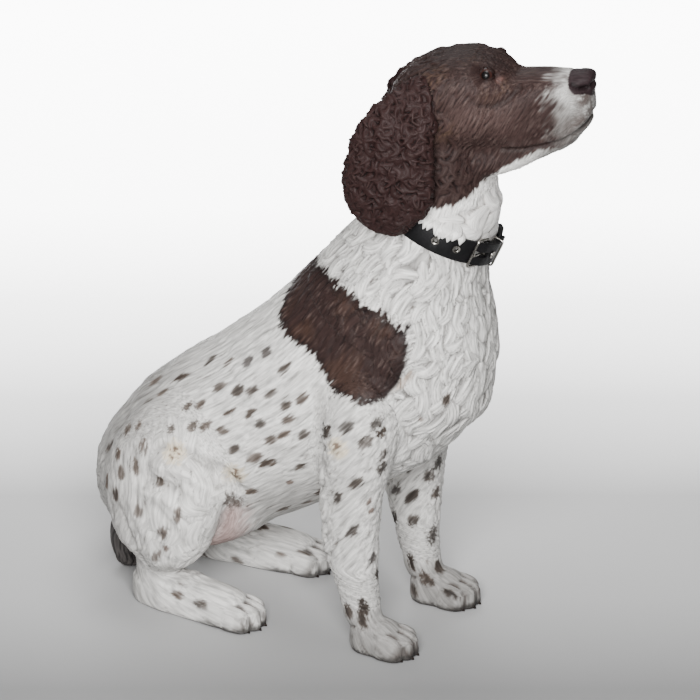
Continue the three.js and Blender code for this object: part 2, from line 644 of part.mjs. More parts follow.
const eyeletTurns = [-2, -1, 1, 2].map((step) => PRONG_HOLE_TURN + turnOf(step * HOLE_PITCH));
const eyeletSeat = (turn) => strapInside + (turn > HEEL_TURN ? layerLift : 0) + STRAP_THICKNESS;
const eyeletHoles = eyeletTurns.map((turn) => {
  const drill = new THREE.CylinderGeometry(EYELET_BARREL + BOND_GAP, EYELET_BARREL + BOND_GAP, 8, 16);
  return solid(standOn(drill.rotateZ(Math.PI / 2), turn, eyeletSeat(turn)));
});
const strap = cut(
  join(strapBand(), knuckle(knuckleRadius, STRAP_WIDTH)),
  knuckle(heelBore, 2 * STRAP_WIDTH),
  loopNotch(),
  prongSlot(),
  ...freeTip(),
  ...eyeletHoles,
);
add("collar_strap", strap, BLACK_LEATHER, collar);

eyeletTurns.forEach((turn, index) => {
  const depth = STRAP_THICKNESS - BOND_GAP;
  const profile = [
    new THREE.Vector2(EYELET_BORE, -depth),
    new THREE.Vector2(EYELET_BARREL, -depth),
    new THREE.Vector2(EYELET_BARREL, BOND_GAP),
    new THREE.Vector2(EYELET_FLANGE, BOND_GAP),
    new THREE.Vector2(EYELET_FLANGE - EYELET_RIM / 2, BOND_GAP + EYELET_RIM),
    new THREE.Vector2(EYELET_BORE + EYELET_RIM / 2, BOND_GAP + EYELET_RIM),
    new THREE.Vector2(EYELET_BORE, BOND_GAP),
    new THREE.Vector2(EYELET_BORE, -depth),
  ];
  const ring = new THREE.LatheGeometry(profile, 16).rotateZ(-Math.PI / 2);
  add(`eyelet_${index + 1}`, solid(standOn(ring, turn, eyeletSeat(turn))), NICKEL, collar);
});

// A closed loop of round wire with rounded corners, lying across X and Y.
function wireLoop(halfX, halfY, wire) {
  const corner = 8;
  const loop = new THREE.TorusGeometry(1, 0.5, 8, 28);
  const points = loop.attributes.position;
  const soften = (x, power) => (Math.abs(x) < 1e-6 ? 0 : Math.sign(x) * Math.abs(x) ** power);
  for (let i = 0; i < points.count; i++) {
    const angle = Math.atan2(points.getY(i), points.getX(i));
    const out = (Math.hypot(points.getX(i), points.getY(i)) - 1) * 2 * wire;
    const centre = new THREE.Vector2(
      halfX * soften(Math.cos(angle), 2 / corner),
      halfY * soften(Math.sin(angle), 2 / corner),
    );
    const normal = new THREE.Vector2(
      soften(centre.x / halfX, corner - 1) / halfX,
      soften(centre.y / halfY, corner - 1) / halfY,
    ).normalize();
    centre.addScaledVector(normal, out);
    points.setXYZ(i, centre.x, centre.y, points.getZ(i) * 2 * wire);
  }
  return loop;
}

// The buckle's frame lies from the heel bar to the front bar, which crosses over the strap.
const heelPoint = onNeck(heelAt, HEEL_TURN);
const frontPoint = onNeck(strapInside + STRAP_THICKNESS + RUN_GAP + BUCKLE_WIRE, FRONT_BAR_TURN);
const frameRun = new THREE.Vector2().subVectors(frontPoint, heelPoint);
const frame = wireLoop(frameRun.length() / 2, frameHalf, BUCKLE_WIRE);
frame.rotateX(Math.PI / 2).translate(frameRun.length() / 2, 0, 0);
frame.rotateZ(frameRun.angle()).translate(heelPoint.x, heelPoint.y, 0);
add("buckle_frame", solid(frame), NICKEL, collar);

// The prong turns on the heel bar and rests on top of the front bar.
const restHeight = BUCKLE_WIRE + PRONG_WIRE + BOND_GAP;
const prongRun = frameRun.length();
const loopBore = BUCKLE_WIRE + RUN_GAP;
const prongLoop = () => {
  const roll = (radius, height) =>
    solid(new THREE.CylinderGeometry(radius, radius, height, 20).rotateX(Math.PI / 2));
  return cut(roll(loopBore + PRONG_WIRE, PRONG_LOOP_WIDTH), roll(loopBore, 2 * PRONG_LOOP_WIDTH));
};
const prongPath = new THREE.CatmullRomCurve3([
  new THREE.Vector3(loopBore + PRONG_WIRE / 2, 0, 0),
  new THREE.Vector3(prongRun * 0.45, restHeight * 0.55, 0),
  new THREE.Vector3(prongRun, restHeight, 0),
  new THREE.Vector3(prongRun + PRONG_OVERHANG, restHeight, 0),
]);
const prongSection = new THREE.Shape().absarc(0, 0, PRONG_WIRE, 0, 2 * Math.PI);
const prongShank = new THREE.ExtrudeGeometry(prongSection, {
  extrudePath: prongPath,
  steps: 10,
  curveSegments: 6,
});
const prong = geometryOf(join(prongLoop(), solid(prongShank)));
prong.rotateZ(frameRun.angle()).translate(heelPoint.x, heelPoint.y, 0);
add("buckle_prong", prong, NICKEL, collar);

// The keeper's wire goes round both layers of the strap.
const stackInside = strapInside - KEEPER_GAP - KEEPER_WIRE;
const stackOutside = strapInside + layerLift + STRAP_THICKNESS + KEEPER_GAP + KEEPER_WIRE;
const keeperHalf = STRAP_WIDTH / 2 + KEEPER_GAP + KEEPER_WIRE;
const keeper = wireLoop((stackOutside - stackInside) / 2, keeperHalf, KEEPER_WIRE);
keeper.rotateX(Math.PI / 2);
add("keeper_loop", solid(standOn(keeper, KEEPER_TURN, (stackInside + stackOutside) / 2)), NICKEL, collar);

// The dog stands over the middle of the floor it covers.
const box = new THREE.Box3().setFromObject(dog);
dog.position.set(-(box.min.x + box.max.x) / 2, -(box.min.y + box.max.y) / 2, -box.min.z);

export default root;
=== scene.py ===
import math

import bmesh
import bpy
import numpy as np
from mathutils import Matrix, Vector, noise
from mathutils.bvhtree import BVHTree
from mathutils.kdtree import KDTree


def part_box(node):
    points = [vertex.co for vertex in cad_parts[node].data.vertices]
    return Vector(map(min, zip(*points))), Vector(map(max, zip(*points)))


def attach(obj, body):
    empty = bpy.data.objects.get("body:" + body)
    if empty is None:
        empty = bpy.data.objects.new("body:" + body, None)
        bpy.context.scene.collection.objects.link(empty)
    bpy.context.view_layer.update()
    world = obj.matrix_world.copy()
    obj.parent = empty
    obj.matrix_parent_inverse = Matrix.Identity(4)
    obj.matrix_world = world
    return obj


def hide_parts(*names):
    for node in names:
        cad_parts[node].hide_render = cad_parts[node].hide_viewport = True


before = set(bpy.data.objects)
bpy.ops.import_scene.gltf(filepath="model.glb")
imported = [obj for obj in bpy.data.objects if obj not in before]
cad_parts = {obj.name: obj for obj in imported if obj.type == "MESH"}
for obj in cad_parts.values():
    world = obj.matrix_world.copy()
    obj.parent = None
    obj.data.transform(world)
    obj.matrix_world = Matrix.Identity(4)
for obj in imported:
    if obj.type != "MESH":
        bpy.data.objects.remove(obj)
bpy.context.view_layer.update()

# The body and legs: two hollow resin half shells and four cast legs, bonded and filled, so that one
# sculpted coat runs over all their joins. The coat is modelled over copies of the castings, in
# millimetres from the ground point between the front paws, and parted again along the castings.
MM = 0.001
PAD_BEHIND_PAWS = 0.75
front_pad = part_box("pad_front_right")
PAW_LINE = np.array([(front_pad[0].x + front_pad[1].x) / 2 / MM + PAD_BEHIND_PAWS, 0, 0])
FULL_VOXEL = 1.6
COAT_VOXEL = FULL_VOXEL
BOND_FILL = 0.35
CASTINGS = ["body_right_shell", "body_left_shell", "foreleg_right", "foreleg_left",
            "hind_leg_right", "hind_leg_left"]
HIDDEN_BARS = ["foreleg_bar_right", "foreleg_bar_left", "hind_bar_right", "hind_bar_left",
               "tail_dowel"]
NECK_MIDDLE = (31, 0, 451)
NECK_LEAN = math.radians(22)
NECK_ROLL = math.radians(12)
PLUG_RADIUS = 46
PLUG_DOWN = 40


def add_copy(rough, name, grow):
    """A merged copy of a casting, swelled a little so that the bonding gaps close."""
    copy = bmesh.new()
    copy.from_mesh(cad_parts[name].data)
    bmesh.ops.remove_doubles(copy, verts=copy.verts, dist=1e-6)
    copy.normal_update()
    for vert in copy.verts:
        vert.co = (vert.co + vert.normal * grow * MM) / MM - Vector(PAW_LINE)
    mesh = bpy.data.meshes.new(name)
    copy.to_mesh(mesh)
    copy.free()
    rough.from_mesh(mesh)
    bpy.data.meshes.remove(mesh)


class Skin:
    """An even skin of quads over rough shapes, to be sculpted and painted."""

    def __init__(self, rough, voxel):
        mesh = bpy.data.meshes.new("rough")
        rough.to_mesh(mesh)
        rough.free()
        block = bpy.data.objects.new("rough", mesh)
        bpy.context.scene.collection.objects.link(block)
        remesh = block.modifiers.new("skin", "REMESH")
        remesh.mode = "VOXEL"
        remesh.voxel_size = voxel
        made = bpy.data.meshes.new_from_object(
            block.evaluated_get(bpy.context.evaluated_depsgraph_get()))
        bpy.data.objects.remove(block)
        bpy.data.meshes.remove(mesh)
        self.at = np.empty(len(made.vertices) * 3, np.float32)
        made.vertices.foreach_get("co", self.at)
        self.at = self.at.reshape(-1, 3).astype(float)
        self.quads = np.empty(len(made.loops), np.int32)
        made.loops.foreach_get("vertex_index", self.quads)
        self.quads = self.quads.reshape(-1, 4)
        bpy.data.meshes.remove(made)
        self.keep_outer()
        self.count_edges()

    def count_edges(self):
        pairs = np.vstack([self.quads[:, [i, (i + 1) % 4]] for i in range(4)])
        pairs = np.unique(np.sort(pairs, axis=1), axis=0)
        self.ends = np.concatenate([pairs[:, 0], pairs[:, 1]])
        self.others = np.concatenate([pairs[:, 1], pairs[:, 0]])
        self.degree = np.bincount(self.ends, minlength=len(self.at))

    def keep_outer(self):
        """Drops the walls of hollows: only the surface that holds the highest point stays."""
        label = np.arange(len(self.at))
        while True:
            lowest = label[self.quads].min(axis=1)
            new = label.copy()
            np.minimum.at(new, self.quads.ravel(), np.repeat(lowest, 4))
            new = new[new]
            if (new == label).all():
                break
            label = new
        wanted = label == label[self.at[:, 2].argmax()]
        index = np.cumsum(wanted) - 1
        self.quads = index[self.quads[wanted[self.quads[:, 0]]]]
        self.at = self.at[wanted]

    def spread(self, values, rounds, share=0.6):
        """Values evened out over neighbouring points."""
        values = np.array(values, float)
        for _ in range(rounds):
            columns = values.reshape(len(values), -1).T
            mean = np.stack([np.bincount(self.ends, c[self.others], len(values)) for c in columns], 1)
            mean = (mean / self.degree[:, None]).reshape(values.shape)
            step = share if np.ndim(share) == 0 else np.asarray(share).reshape(-1, *[1] * (values.ndim - 1))
            values = values + step * (mean - values)
        return values

    def normals(self):
        corner = self.at[self.quads]
        facing = np.cross(corner[:, 2] - corner[:, 0], corner[:, 3] - corner[:, 1])
        total = np.stack([np.bincount(self.quads.ravel(), np.repeat(facing[:, i], 4), len(self.at))
                          for i in range(3)], 1)
        return total / np.maximum(np.linalg.norm(total, axis=1), 1e-9)[:, None]

    def ease(self, rounds, restore, share=0.6):
        """Rounds off the facets and seams, and gives back the volume that this takes."""
        before = self.at
        self.at = self.spread(self.at, rounds, share)
        normal = self.normals()
        lost = self.spread(((before - self.at) * normal).sum(axis=1), restore)
        self.at = self.at + normal * (lost * (np.asarray(share) > 0))[:, None]


def grain(points):
    """Smooth noise at points, about -1 to 1."""
    return np.array([noise.noise(p) for p in points.tolist()])


def ramp(values, low, high):
    """0 below low, 1 above high, smooth between."""
    t = np.clip((values - low) / (high - low), 0, 1)
    return t * t * (3 - 2 * t)


def on_left(points):
    """Points of both sides of the dog, laid on its left side."""
    return np.stack([points[:, 0], np.abs(points[:, 1]), points[:, 2]], 1)


def flow_along(path, points, reach):
    """Hair flow round a path: (offsets to two sides and distance along it, direction)."""
    path = np.array(path, float)
    ends = np.vstack([2 * path[0] - path[1], path, 2 * path[-1] - path[-2]])
    stops = []
    for a, b, c, d in zip(ends, ends[1:], ends[2:], ends[3:]):
        for t in np.linspace(0, 1, 8, endpoint=False):
            stops.append(0.5 * (2 * b + (c - a) * t + (2 * a - 5 * b + 4 * c - d) * t * t
                                + (3 * b - a - 3 * c + d) * t ** 3))
    stops = np.array(stops + [path[-1]])
    step = np.gradient(stops, axis=0)
    length = np.concatenate([[0], np.cumsum(np.linalg.norm(np.diff(stops, axis=0), axis=1))])
    step /= np.linalg.norm(step, axis=1)[:, None]
    far = (points ** 2).sum(1)[:, None] + (stops ** 2).sum(1) - 2 * points @ stops.T
    weight = np.exp(-(far - far.min(1, keepdims=True)) / (2 * reach * reach))
    weight /= weight.sum(1, keepdims=True)
    way = weight @ step
    way /= np.linalg.norm(way, axis=1)[:, None]
    off = points - weight @ stops
    side = np.array([0, 1.0, 0]) - way * way[:, 1:2]
    side /= np.linalg.norm(side, axis=1)[:, None]
    rise = np.cross(way, side)
    return np.stack([(off * side).sum(1), (off * rise).sum(1), weight @ length], 1), way


def combed(flow, lock, long, wave=0.0, sway=60.0, seed=0.0):
    """Height of combed hair over flow coordinates: 0 in the partings, about 1 on the locks."""
    bend = np.zeros(len(flow))
    if wave:
        phase = 2.6 * grain(flow / 55 + seed + 9.1)
        bend = wave * np.sin(2 * np.pi * flow[:, 2] / sway + phase)
    at = np.stack([(flow[:, 0] + bend) / lock, (flow[:, 1] + bend) / lock, flow[:, 2] / long], 1)
    return np.clip(1.9 * np.abs(grain(at + seed)), 0, 1)


def scattered(points, room, apart, tries, seed):
    """Indices of points picked at random, more often where there is room, and set apart."""
    chance = np.random.default_rng(seed)
    picked = np.empty(0, int)
    for tried in chance.integers(0, len(points), tries):
        if chance.random() > room[tried]:
            continue
        if len(picked) and ((points[picked] - points[tried]) ** 2).sum(axis=1).min() < apart * apart:
            continue
        picked = np.append(picked, tried)
    return picked


def locks(skin, way, roots, long, wide, curl, scatter, seed, blunt=0.62):
    """Overlapping locks of hair, each a bent leaf that rises from its root and falls again to its tip.

    Gives the relief, from 0 to about 1, and flow coordinates that follow each lock."""
    chance = np.random.default_rng(seed)
    normal = skin.normals()
    relief = np.zeros(len(skin.at))
    flow = np.zeros((len(skin.at), 3))
    order = np.argsort(skin.at[:, 2])
    levels = skin.at[order, 2]
    for root in roots:
        size = 0.75 + 0.5 * chance.random()
        turn = scatter * chance.normal()
        bend = curl * chance.choice([-1, 1]) * (0.6 + 0.6 * chance.random())
        rise = 0.75 + 0.25 * chance.random()
        up = normal[root]
        ahead = way[root] - up * (way[root] @ up)
        ahead /= np.linalg.norm(ahead) + 1e-9
        aside = np.cross(up, ahead)
        ahead, aside = (ahead * math.cos(turn) + aside * math.sin(turn),
                        aside * math.cos(turn) - ahead * math.sin(turn))
        reach = long * size
        low, high = np.searchsorted(levels, [skin.at[root, 2] - 1.1 * reach, skin.at[root, 2] + 1.1 * reach])
        near = order[low:high]
        off = skin.at[near] - skin.at[root]
        run = off @ ahead / reach
        near, off, run = (part[(run > -0.05) & (run < 1.02)] for part in (near, off, run))
        swing = off @ aside - bend * wide * np.sin(math.pi * (1.25 * run - 0.1))
        half = wide * size * np.clip(4.2 * (run + 0.06) * (1.04 - run), 0, 1) ** 0.6
        inner = (np.abs(swing) < half) & (normal[near] @ up > 0.1) & (np.abs(off @ up) < 0.5 * long)
        near, run, swing, half = near[inner], run[inner], swing[inner], half[inner]
        share = swing / half
        lift = rise * (1 - share ** 2) ** 0.75 * (0.35 + 0.65 * run) * (1 - ramp(run, blunt, 1.03))
        over = lift > relief[near]
        relief[near[over]] = lift[over]
        shift, depth = 40 * chance.random(), 9 * chance.random()
        flow[near[over]] = np.stack([swing[over] + shift, np.full(over.sum(), depth), run[over] * reach], 1)
    return relief, flow


def tree_over(names):
    """A search tree over the faces of castings."""
    rough = bmesh.new()
    for name in names:
        add_copy(rough, name, grow=0)
    tree = BVHTree.FromBMesh(rough)
    rough.free()
    return tree


def distances(tree, points):
    return np.array([tree.find_nearest(p)[3] for p in points.tolist()])


def stroke(points, path, wide, across=1.0):
    """How strongly a tool drawn along a path touches points: 1 on its line, fading to each side.

    An across below 1 makes the tool broad from side to side of the dog."""
    squeeze = np.array([1, across, 1])
    points, path = points * squeeze, np.array(path, float) * squeeze
    far = ((points - path[0]) ** 2).sum(axis=1)
    for a, b in zip(path, path[1:]):
        run = b - a
        t = np.clip(((points - a) @ run) / (run @ run), 0, 1)
        far = np.minimum(far, ((points - a - t[:, None] * run) ** 2).sum(axis=1))
    return np.exp(-far / wide ** 2)


def within(points, outline):
    """How far inside an outline points lie, in millimetres, and below 0 outside it."""
    outline = np.array(outline, float)
    best = np.full(len(points), 1e9)
    inside = np.zeros(len(points), bool)
    for a, b in zip(outline, np.roll(outline, -1, axis=0)):
        run = b - a
        t = np.clip(((points - a) @ run) / (run @ run), 0, 1)
        best = np.minimum(best, np.linalg.norm(points - a - t[:, None] * run, axis=1))
        crosses = (a[1] > points[:, 1]) != (b[1] > points[:, 1])
        rise = np.where(abs(run[1]) < 1e-9, 1e-9, run[1])
        inside ^= crosses & (points[:, 0] < a[0] + (points[:, 1] - a[1]) * run[0] / rise)
    return np.where(inside, best, -best)


rough_coat = bmesh.new()
for name in CASTINGS + HIDDEN_BARS:
    add_copy(rough_coat, name, BOND_FILL)
neck_plug = (Matrix.Translation(NECK_MIDDLE) @ Matrix.Rotation(-NECK_ROLL, 4, "X")
             @ Matrix.Rotation(NECK_LEAN, 4, "Y"))
bmesh.ops.create_cone(rough_coat, cap_ends=True, segments=48, radius1=PLUG_RADIUS, radius2=PLUG_RADIUS,
                      depth=PLUG_DOWN, matrix=neck_plug @ Matrix.Translation((0, 0, -PLUG_DOWN / 2)))
coat = Skin(rough_coat, COAT_VOXEL)
FINE = COAT_VOXEL / FULL_VOXEL

# Which casting each point of the coat lies on: 0 and 1 the body halves, 2 and 3 the forelegs, 4 and
# 5 the hind legs, in the order of CASTINGS.
on_leg = np.zeros((len(coat.at), 4))
body_tree = tree_over(CASTINGS[:2])
for column, leg in enumerate(CASTINGS[2:]):
    low, high = (np.array(corner) / MM - PAW_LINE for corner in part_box(leg))
    near = np.flatnonzero(((coat.at > low - 3) & (coat.at < high + 3)).all(axis=1))
    to_leg = distances(tree_over([leg]), coat.at[near])
    on_leg[near, column] = to_leg < distances(body_tree, coat.at[near])
on_leg = coat.spread(on_leg, rounds=8)
casting_of = np.where(coat.at[:, 1] < 0, 0, 1)
casting_of = np.where(on_leg.max(axis=1) > 0.5, 2 + on_leg.argmax(axis=1), casting_of)

is_foreleg = coat.spread(casting_of // 2 == 1, rounds=30)
is_hind_foot = coat.spread(casting_of // 2 == 2, rounds=30)
height = coat.at[:, 2]
PAW_TOP = (26, 60)
HIND_PAW_BACK = (-215, -180)
is_paw = np.maximum(is_foreleg * (1 - ramp(height, *PAW_TOP)),
                    is_hind_foot * ramp(coat.at[:, 0], *HIND_PAW_BACK))
coat.ease(rounds=int(90 / FINE ** 2), restore=int(160 / FINE ** 2), share=0.62 * (1 - 0.93 * is_paw))

# Folds worked in with a tool, on both sides alike: height, width and line. The thigh's front edge folds
# over the flank, a crease parts the shoulder from the ribs, and the last is the loose fold of skin that
# hangs between the belly and the thigh.
BODY_STROKES = [
    (5.0, 6.5, [(-237, 112, 174), (-206, 110, 172), (-182, 102, 157), (-174, 86, 142)]),
    (-4.5, 5.0, [(-232, 106, 192), (-200, 102, 190), (-170, 92, 172), (-156, 82, 150)]),
    (-3.6, 4.0, [(-240, 114, 160), (-214, 113, 156), (-194, 108, 143), (-184, 98, 126)]),
    (3.4, 6.0, [(-246, 115, 144), (-222, 114, 142), (-204, 109, 126)]),
    (-3.2, 4.0, [(-232, 113, 130), (-214, 110, 112), (-206, 100, 88)]),
    (2.6, 6.0, [(-262, 112, 128), (-246, 112, 96), (-240, 100, 62)]),
    (-2.8, 4.0, [(-276, 108, 118), (-264, 106, 86), (-258, 96, 58)]),
    (-2.4, 4.0, [(-232, 106, 96), (-228, 98, 72), (-228, 90, 52)]),
    (-3.2, 5.0, [(-60, 98, 286), (-60, 98, 246), (-57, 94, 205)]),
    (2.0, 9.0, [(-128, 94, 236), (-142, 90, 200), (-150, 84, 168)]),
    (13.0, 19.0, [(-172, 50, 100), (-190, 46, 88), (-206, 46, 76)]),
]
both_flanks = on_left(coat.at)
folded = sum(lift * stroke(both_flanks, path, wide, across=0.6) for lift, wide, path in BODY_STROKES)
coat.at = coat.at + coat.normals() * folded[:, None]
toe_hollow = ((coat.spread(coat.at, rounds=int(10 / FINE)) - coat.at) * coat.normals()).sum(axis=1)

# Hair flow: down the neck and chest and back along the trunk, down each leg and out to the toes.
TRUNK_FLOW = [(48, 0, 520), (31, 0, 451), (7, 0, 414), (-16, 0, 366), (-46, 0, 306), (-96, 0, 256),
              (-165, 0, 206), (-230, 0, 158), (-288, 0, 104), (-330, 0, 60)]
FORELEG_FLOW = [(-18, 69, 318), (-24, 74, 240), (-30, 70, 168), (-29, 68, 100), (-25, 67, 54),
                (-12, 67, 24), (8, 69, 14), (36, 69, 8)]
THIGH_FLOW = [(-258, 62, 240), (-240, 84, 176), (-230, 92, 126), (-246, 82, 80), (-268, 66, 46),
              (-262, 64, 24), (-236, 68, 18), (-200, 72, 16), (-168, 76, 13), (-132, 76, 8)]
left_or_right = np.where(coat.at[:, 1] < 0, -1.0, 1.0)
mirrored = on_left(coat.at)
trunk_flow, trunk_way = flow_along(TRUNK_FLOW, coat.at, reach=45)
foreleg_flow, foreleg_way = flow_along(FORELEG_FLOW, mirrored, reach=18)
thigh_flow, thigh_way = flow_along(THIGH_FLOW, mirrored, reach=24)
LEG_HAIR_SLANT = 0.66
backward = LEG_HAIR_SLANT * ramp(height, 45, 90)
kept = np.sqrt(1 - backward ** 2)
across_leg = np.cross(foreleg_way, (0, 1, 0))
foreleg_way = foreleg_way * kept[:, None] - across_leg * backward[:, None]
front_off, down_leg = foreleg_flow[:, 1].copy(), foreleg_flow[:, 2].copy()
foreleg_flow[:, 1] = front_off * kept + down_leg * backward
foreleg_flow[:, 2] = down_leg * kept - front_off * backward
for one_way in (foreleg_way, thigh_way):
    one_way[:, 1] *= left_or_right

THIGH_X, THIGH_Z = -240, 130
thigh_off = np.hypot(mirrored[:, 0] - THIGH_X, (height - THIGH_Z) * 0.8)
is_thigh = np.maximum((1 - ramp(thigh_off, 52, 92)) * ramp(mirrored[:, 1], 48, 82), is_hind_foot)
is_thigh = coat.spread(is_thigh, rounds=10)
is_foreleg = coat.spread(is_foreleg, rounds=10)
leg_share = np.clip(is_thigh + is_foreleg, 0, 1)
way = (trunk_way * (1 - leg_share)[:, None] + foreleg_way * is_foreleg[:, None]
       + thigh_way * is_thigh[:, None])
way /= np.maximum(np.linalg.norm(way, axis=1), 1e-6)[:, None]

# The relief: deep waving locks on the neck, shoulder and chest, fluffed locks on the thigh, feathers
# behind the forelegs and close combed hair elsewhere.
def brushed_hair(flow, coarse, fine, share=0.6):
    """Two layers of combed hair, of which the coarse one has a share."""
    return share * combed(flow, **coarse) + (1 - share) * combed(flow, **fine)


WAVES_END = (150, 235)
CHEST_END = (270, 370)
BELLY_START = (300, 380)
CLOSE_DEEP, WAVES_DEEP, FLUFF_DEEP, FEATHERS_DEEP, CLEFT_DEEP = 2.1, 4.8, 1.4, 5.0, 2.2
HAIR_LEVEL = 0.42
down_trunk = trunk_flow[:, 2]
toward_front = trunk_flow[:, 1]
is_wavy = np.maximum(1 - ramp(down_trunk, *WAVES_END),
                     ramp(toward_front, 5, 60) * (1 - ramp(down_trunk, *CHEST_END)))
is_wavy = is_wavy * (1 - leg_share)
is_belly = ramp(toward_front, 30, 80) * ramp(down_trunk, *BELLY_START) * (1 - leg_share)
is_fluffy = (1 - ramp(thigh_off, 60, 95)) * ramp(mirrored[:, 1], 55, 85) * (1 - is_hind_foot)
is_fluffy = is_fluffy * ramp(mirrored[:, 0], -262, -225)
coarse_way = coat.spread(way, rounds=12)
chest_roots = scattered(coat.at, ramp(is_wavy, 0.15, 0.6), apart=11, tries=9000, seed=5)
chest_locks, chest_flow = locks(coat, coarse_way, chest_roots, long=50, wide=10.5, curl=0.7, scatter=0.4,
                                seed=7)
thigh_roots = scattered(coat.at, ramp(is_fluffy, 0.2, 0.7), apart=15, tries=4000, seed=15)
thigh_locks, thigh_lock_flow = locks(coat, coarse_way, thigh_roots, long=56, wide=12.5, curl=0.7, scatter=0.5,
                                     seed=17)
is_feathered = is_foreleg * ramp(-(coat.normals() * (1, 0, 0)).sum(axis=1), 0.25, 0.75)
is_feathered *= ramp(height, 70, 110) * (1 - ramp(height, 215, 260))
feather_roots = scattered(coat.at, ramp(is_feathered, 0.1, 0.5), apart=8, tries=5000, seed=19)
feathers, feather_flow = locks(coat, coarse_way, feather_roots, long=30, wide=6.5, curl=0.4, scatter=0.3,
                               seed=23)
waves = 0.76 * coat.spread(chest_locks, rounds=2) + 0.24 * combed(chest_flow, lock=3.0, long=34, seed=3.3)
close = brushed_hair(trunk_flow, dict(lock=9.5, long=44, wave=2.4, sway=70, seed=5.7),
                     dict(lock=5.2, long=24, wave=1.0, sway=40, seed=2.9))
foreleg_hair = brushed_hair(foreleg_flow, dict(lock=8.5, long=36, wave=2.0, sway=60, seed=31.3),
                            dict(lock=4.6, long=22, seed=12.7))
thigh_hair = brushed_hair(thigh_flow, dict(lock=8.0, long=42, wave=2.4, sway=64, seed=21.9),
                          dict(lock=4.8, long=24, seed=8.1))
fluff = 0.6 * thigh_locks + 0.4 * thigh_hair
trunk_hair = waves * is_wavy + close * (1 - is_wavy)
relief = trunk_hair * (1 - leg_share) + foreleg_hair * is_foreleg + thigh_hair * is_thigh
relief = relief * (1 - is_fluffy) + fluff * is_fluffy
relief = relief * (1 - is_feathered) + feathers * is_feathered
depth = CLOSE_DEEP + WAVES_DEEP * is_wavy + FLUFF_DEEP * is_fluffy + FEATHERS_DEEP * is_feathered
depth = depth * (1 - 0.6 * is_belly) * (1 - 0.72 * is_paw)
depth *= ramp(height, 3.2, 12)
lumps = grain(coat.at / 34 + 4.4) * (1 - is_paw)
cleft = is_paw * ramp(toe_hollow, 0.04, 0.28) * (1 - ramp(height, 24, 36))
raised = depth * (relief - HAIR_LEVEL + 0.4 * is_feathered) + 0.9 * lumps - CLEFT_DEEP * cleft
coat.at = coat.at + coat.normals() * raised[:, None]
crease = coat.spread(depth * relief, rounds=8) - depth * relief
broad_crease = coat.spread(depth * relief, rounds=26) - depth * relief

# The feet's lower rims come down round the soles, almost to the floor.
PADS = ["pad_front_right", "pad_front_left", "pad_hind_right", "pad_hind_left"]
SOLE_LEVEL = 3.1
SOLE_REACH = 90
SOLE_SIDE = 20
RIM_CLEAR = 0.7
RIM_OUT = 1.2
RIM_HIGH = 11
coat.at[:, 2] = np.maximum(coat.at[:, 2], SOLE_LEVEL)
on_sole = np.full(len(coat.at), -50.0)
for pad in PADS:
    edge = np.array([vert.co[:2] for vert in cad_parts[pad].data.vertices if vert.co.z < MM]) / MM
    edge = np.unique(edge.round(3), axis=0)
    middle = (edge.min(axis=0) + edge.max(axis=0)) / 2
    edge = edge[np.argsort(np.arctan2(*(edge - middle).T[::-1]))] - PAW_LINE[:2]
    beside_pad = (np.abs(coat.at[:, :2] + PAW_LINE[:2] - middle) < SOLE_REACH).all(axis=1)
    near = np.flatnonzero(beside_pad & (coat.at[:, 2] < SOLE_SIDE))
    on_sole[near] = np.maximum(on_sole[near], within(coat.at[near][:, :2], edge))
sideways = coat.normals() * (1, 1, 0)
is_rim = (1 - ramp(coat.at[:, 2], RIM_HIGH, 2 * RIM_HIGH)) * ramp(np.linalg.norm(sideways, axis=1), 0.1, 0.4)
push = is_rim * np.clip(on_sole + RIM_OUT, 0, 6)
coat.at += sideways * push[:, None]
on_sole -= push
is_rim = (1 - ramp(coat.at[:, 2], RIM_HIGH / 2, 2 * RIM_HIGH)) * (on_sole < -0.2)
is_rim = is_rim * (coat.normals()[:, 2] < 0.3)
coat.at[:, 2] -= is_rim * (coat.at[:, 2] - RIM_CLEAR)


# The coat's paint: warm white with grey painted shade in the partings, creases and folds, one liver
# patch over the shoulders, flecks that follow the hair on the back, flanks and legs, and bare pink
# skin inside the thighs.
def tint(red, green, blue):
    """A paint colour, from screen values to the linear values that shaders take."""
    screen = np.array([red, green, blue]) / 255
    return np.where(screen < 0.04045, screen / 12.92, ((screen + 0.055) / 1.055) ** 2.4)


def lay(paint, colour, cover):
    """Paint with a colour laid over it by a cover of 0 to 1."""
    return paint + (colour - paint) * np.clip(cover, 0, 1)[:, None]


WHITE_PAINT = tint(236, 234, 230)
SHADE_GREY = tint(104, 101, 98)
LIVER_DARK_AND_SHADE = tint(20, 13, 13)
LIVER = tint(47, 34, 32)
LIVER_HIGHLIGHT = tint(100, 85, 80)
LIVER_WARM = tint(66, 48, 40)
FLECK_PAINT = tint(112, 99, 90)
PINK_SKIN = tint(166, 136, 131)
PATCH = [(-108, 420), (-100, 392), (-81, 397), (-69, 398), (-34, 390), (-10, 380), (14, 370), (28, 359),
         (32, 340), (31, 326), (22, 303), (10, 285), (-4, 280), (-25, 284), (-45, 286), (-57, 306),
         (-70, 321), (-93, 325), (-116, 331), (-125, 346), (-128, 361), (-132, 376), (-136, 420)]

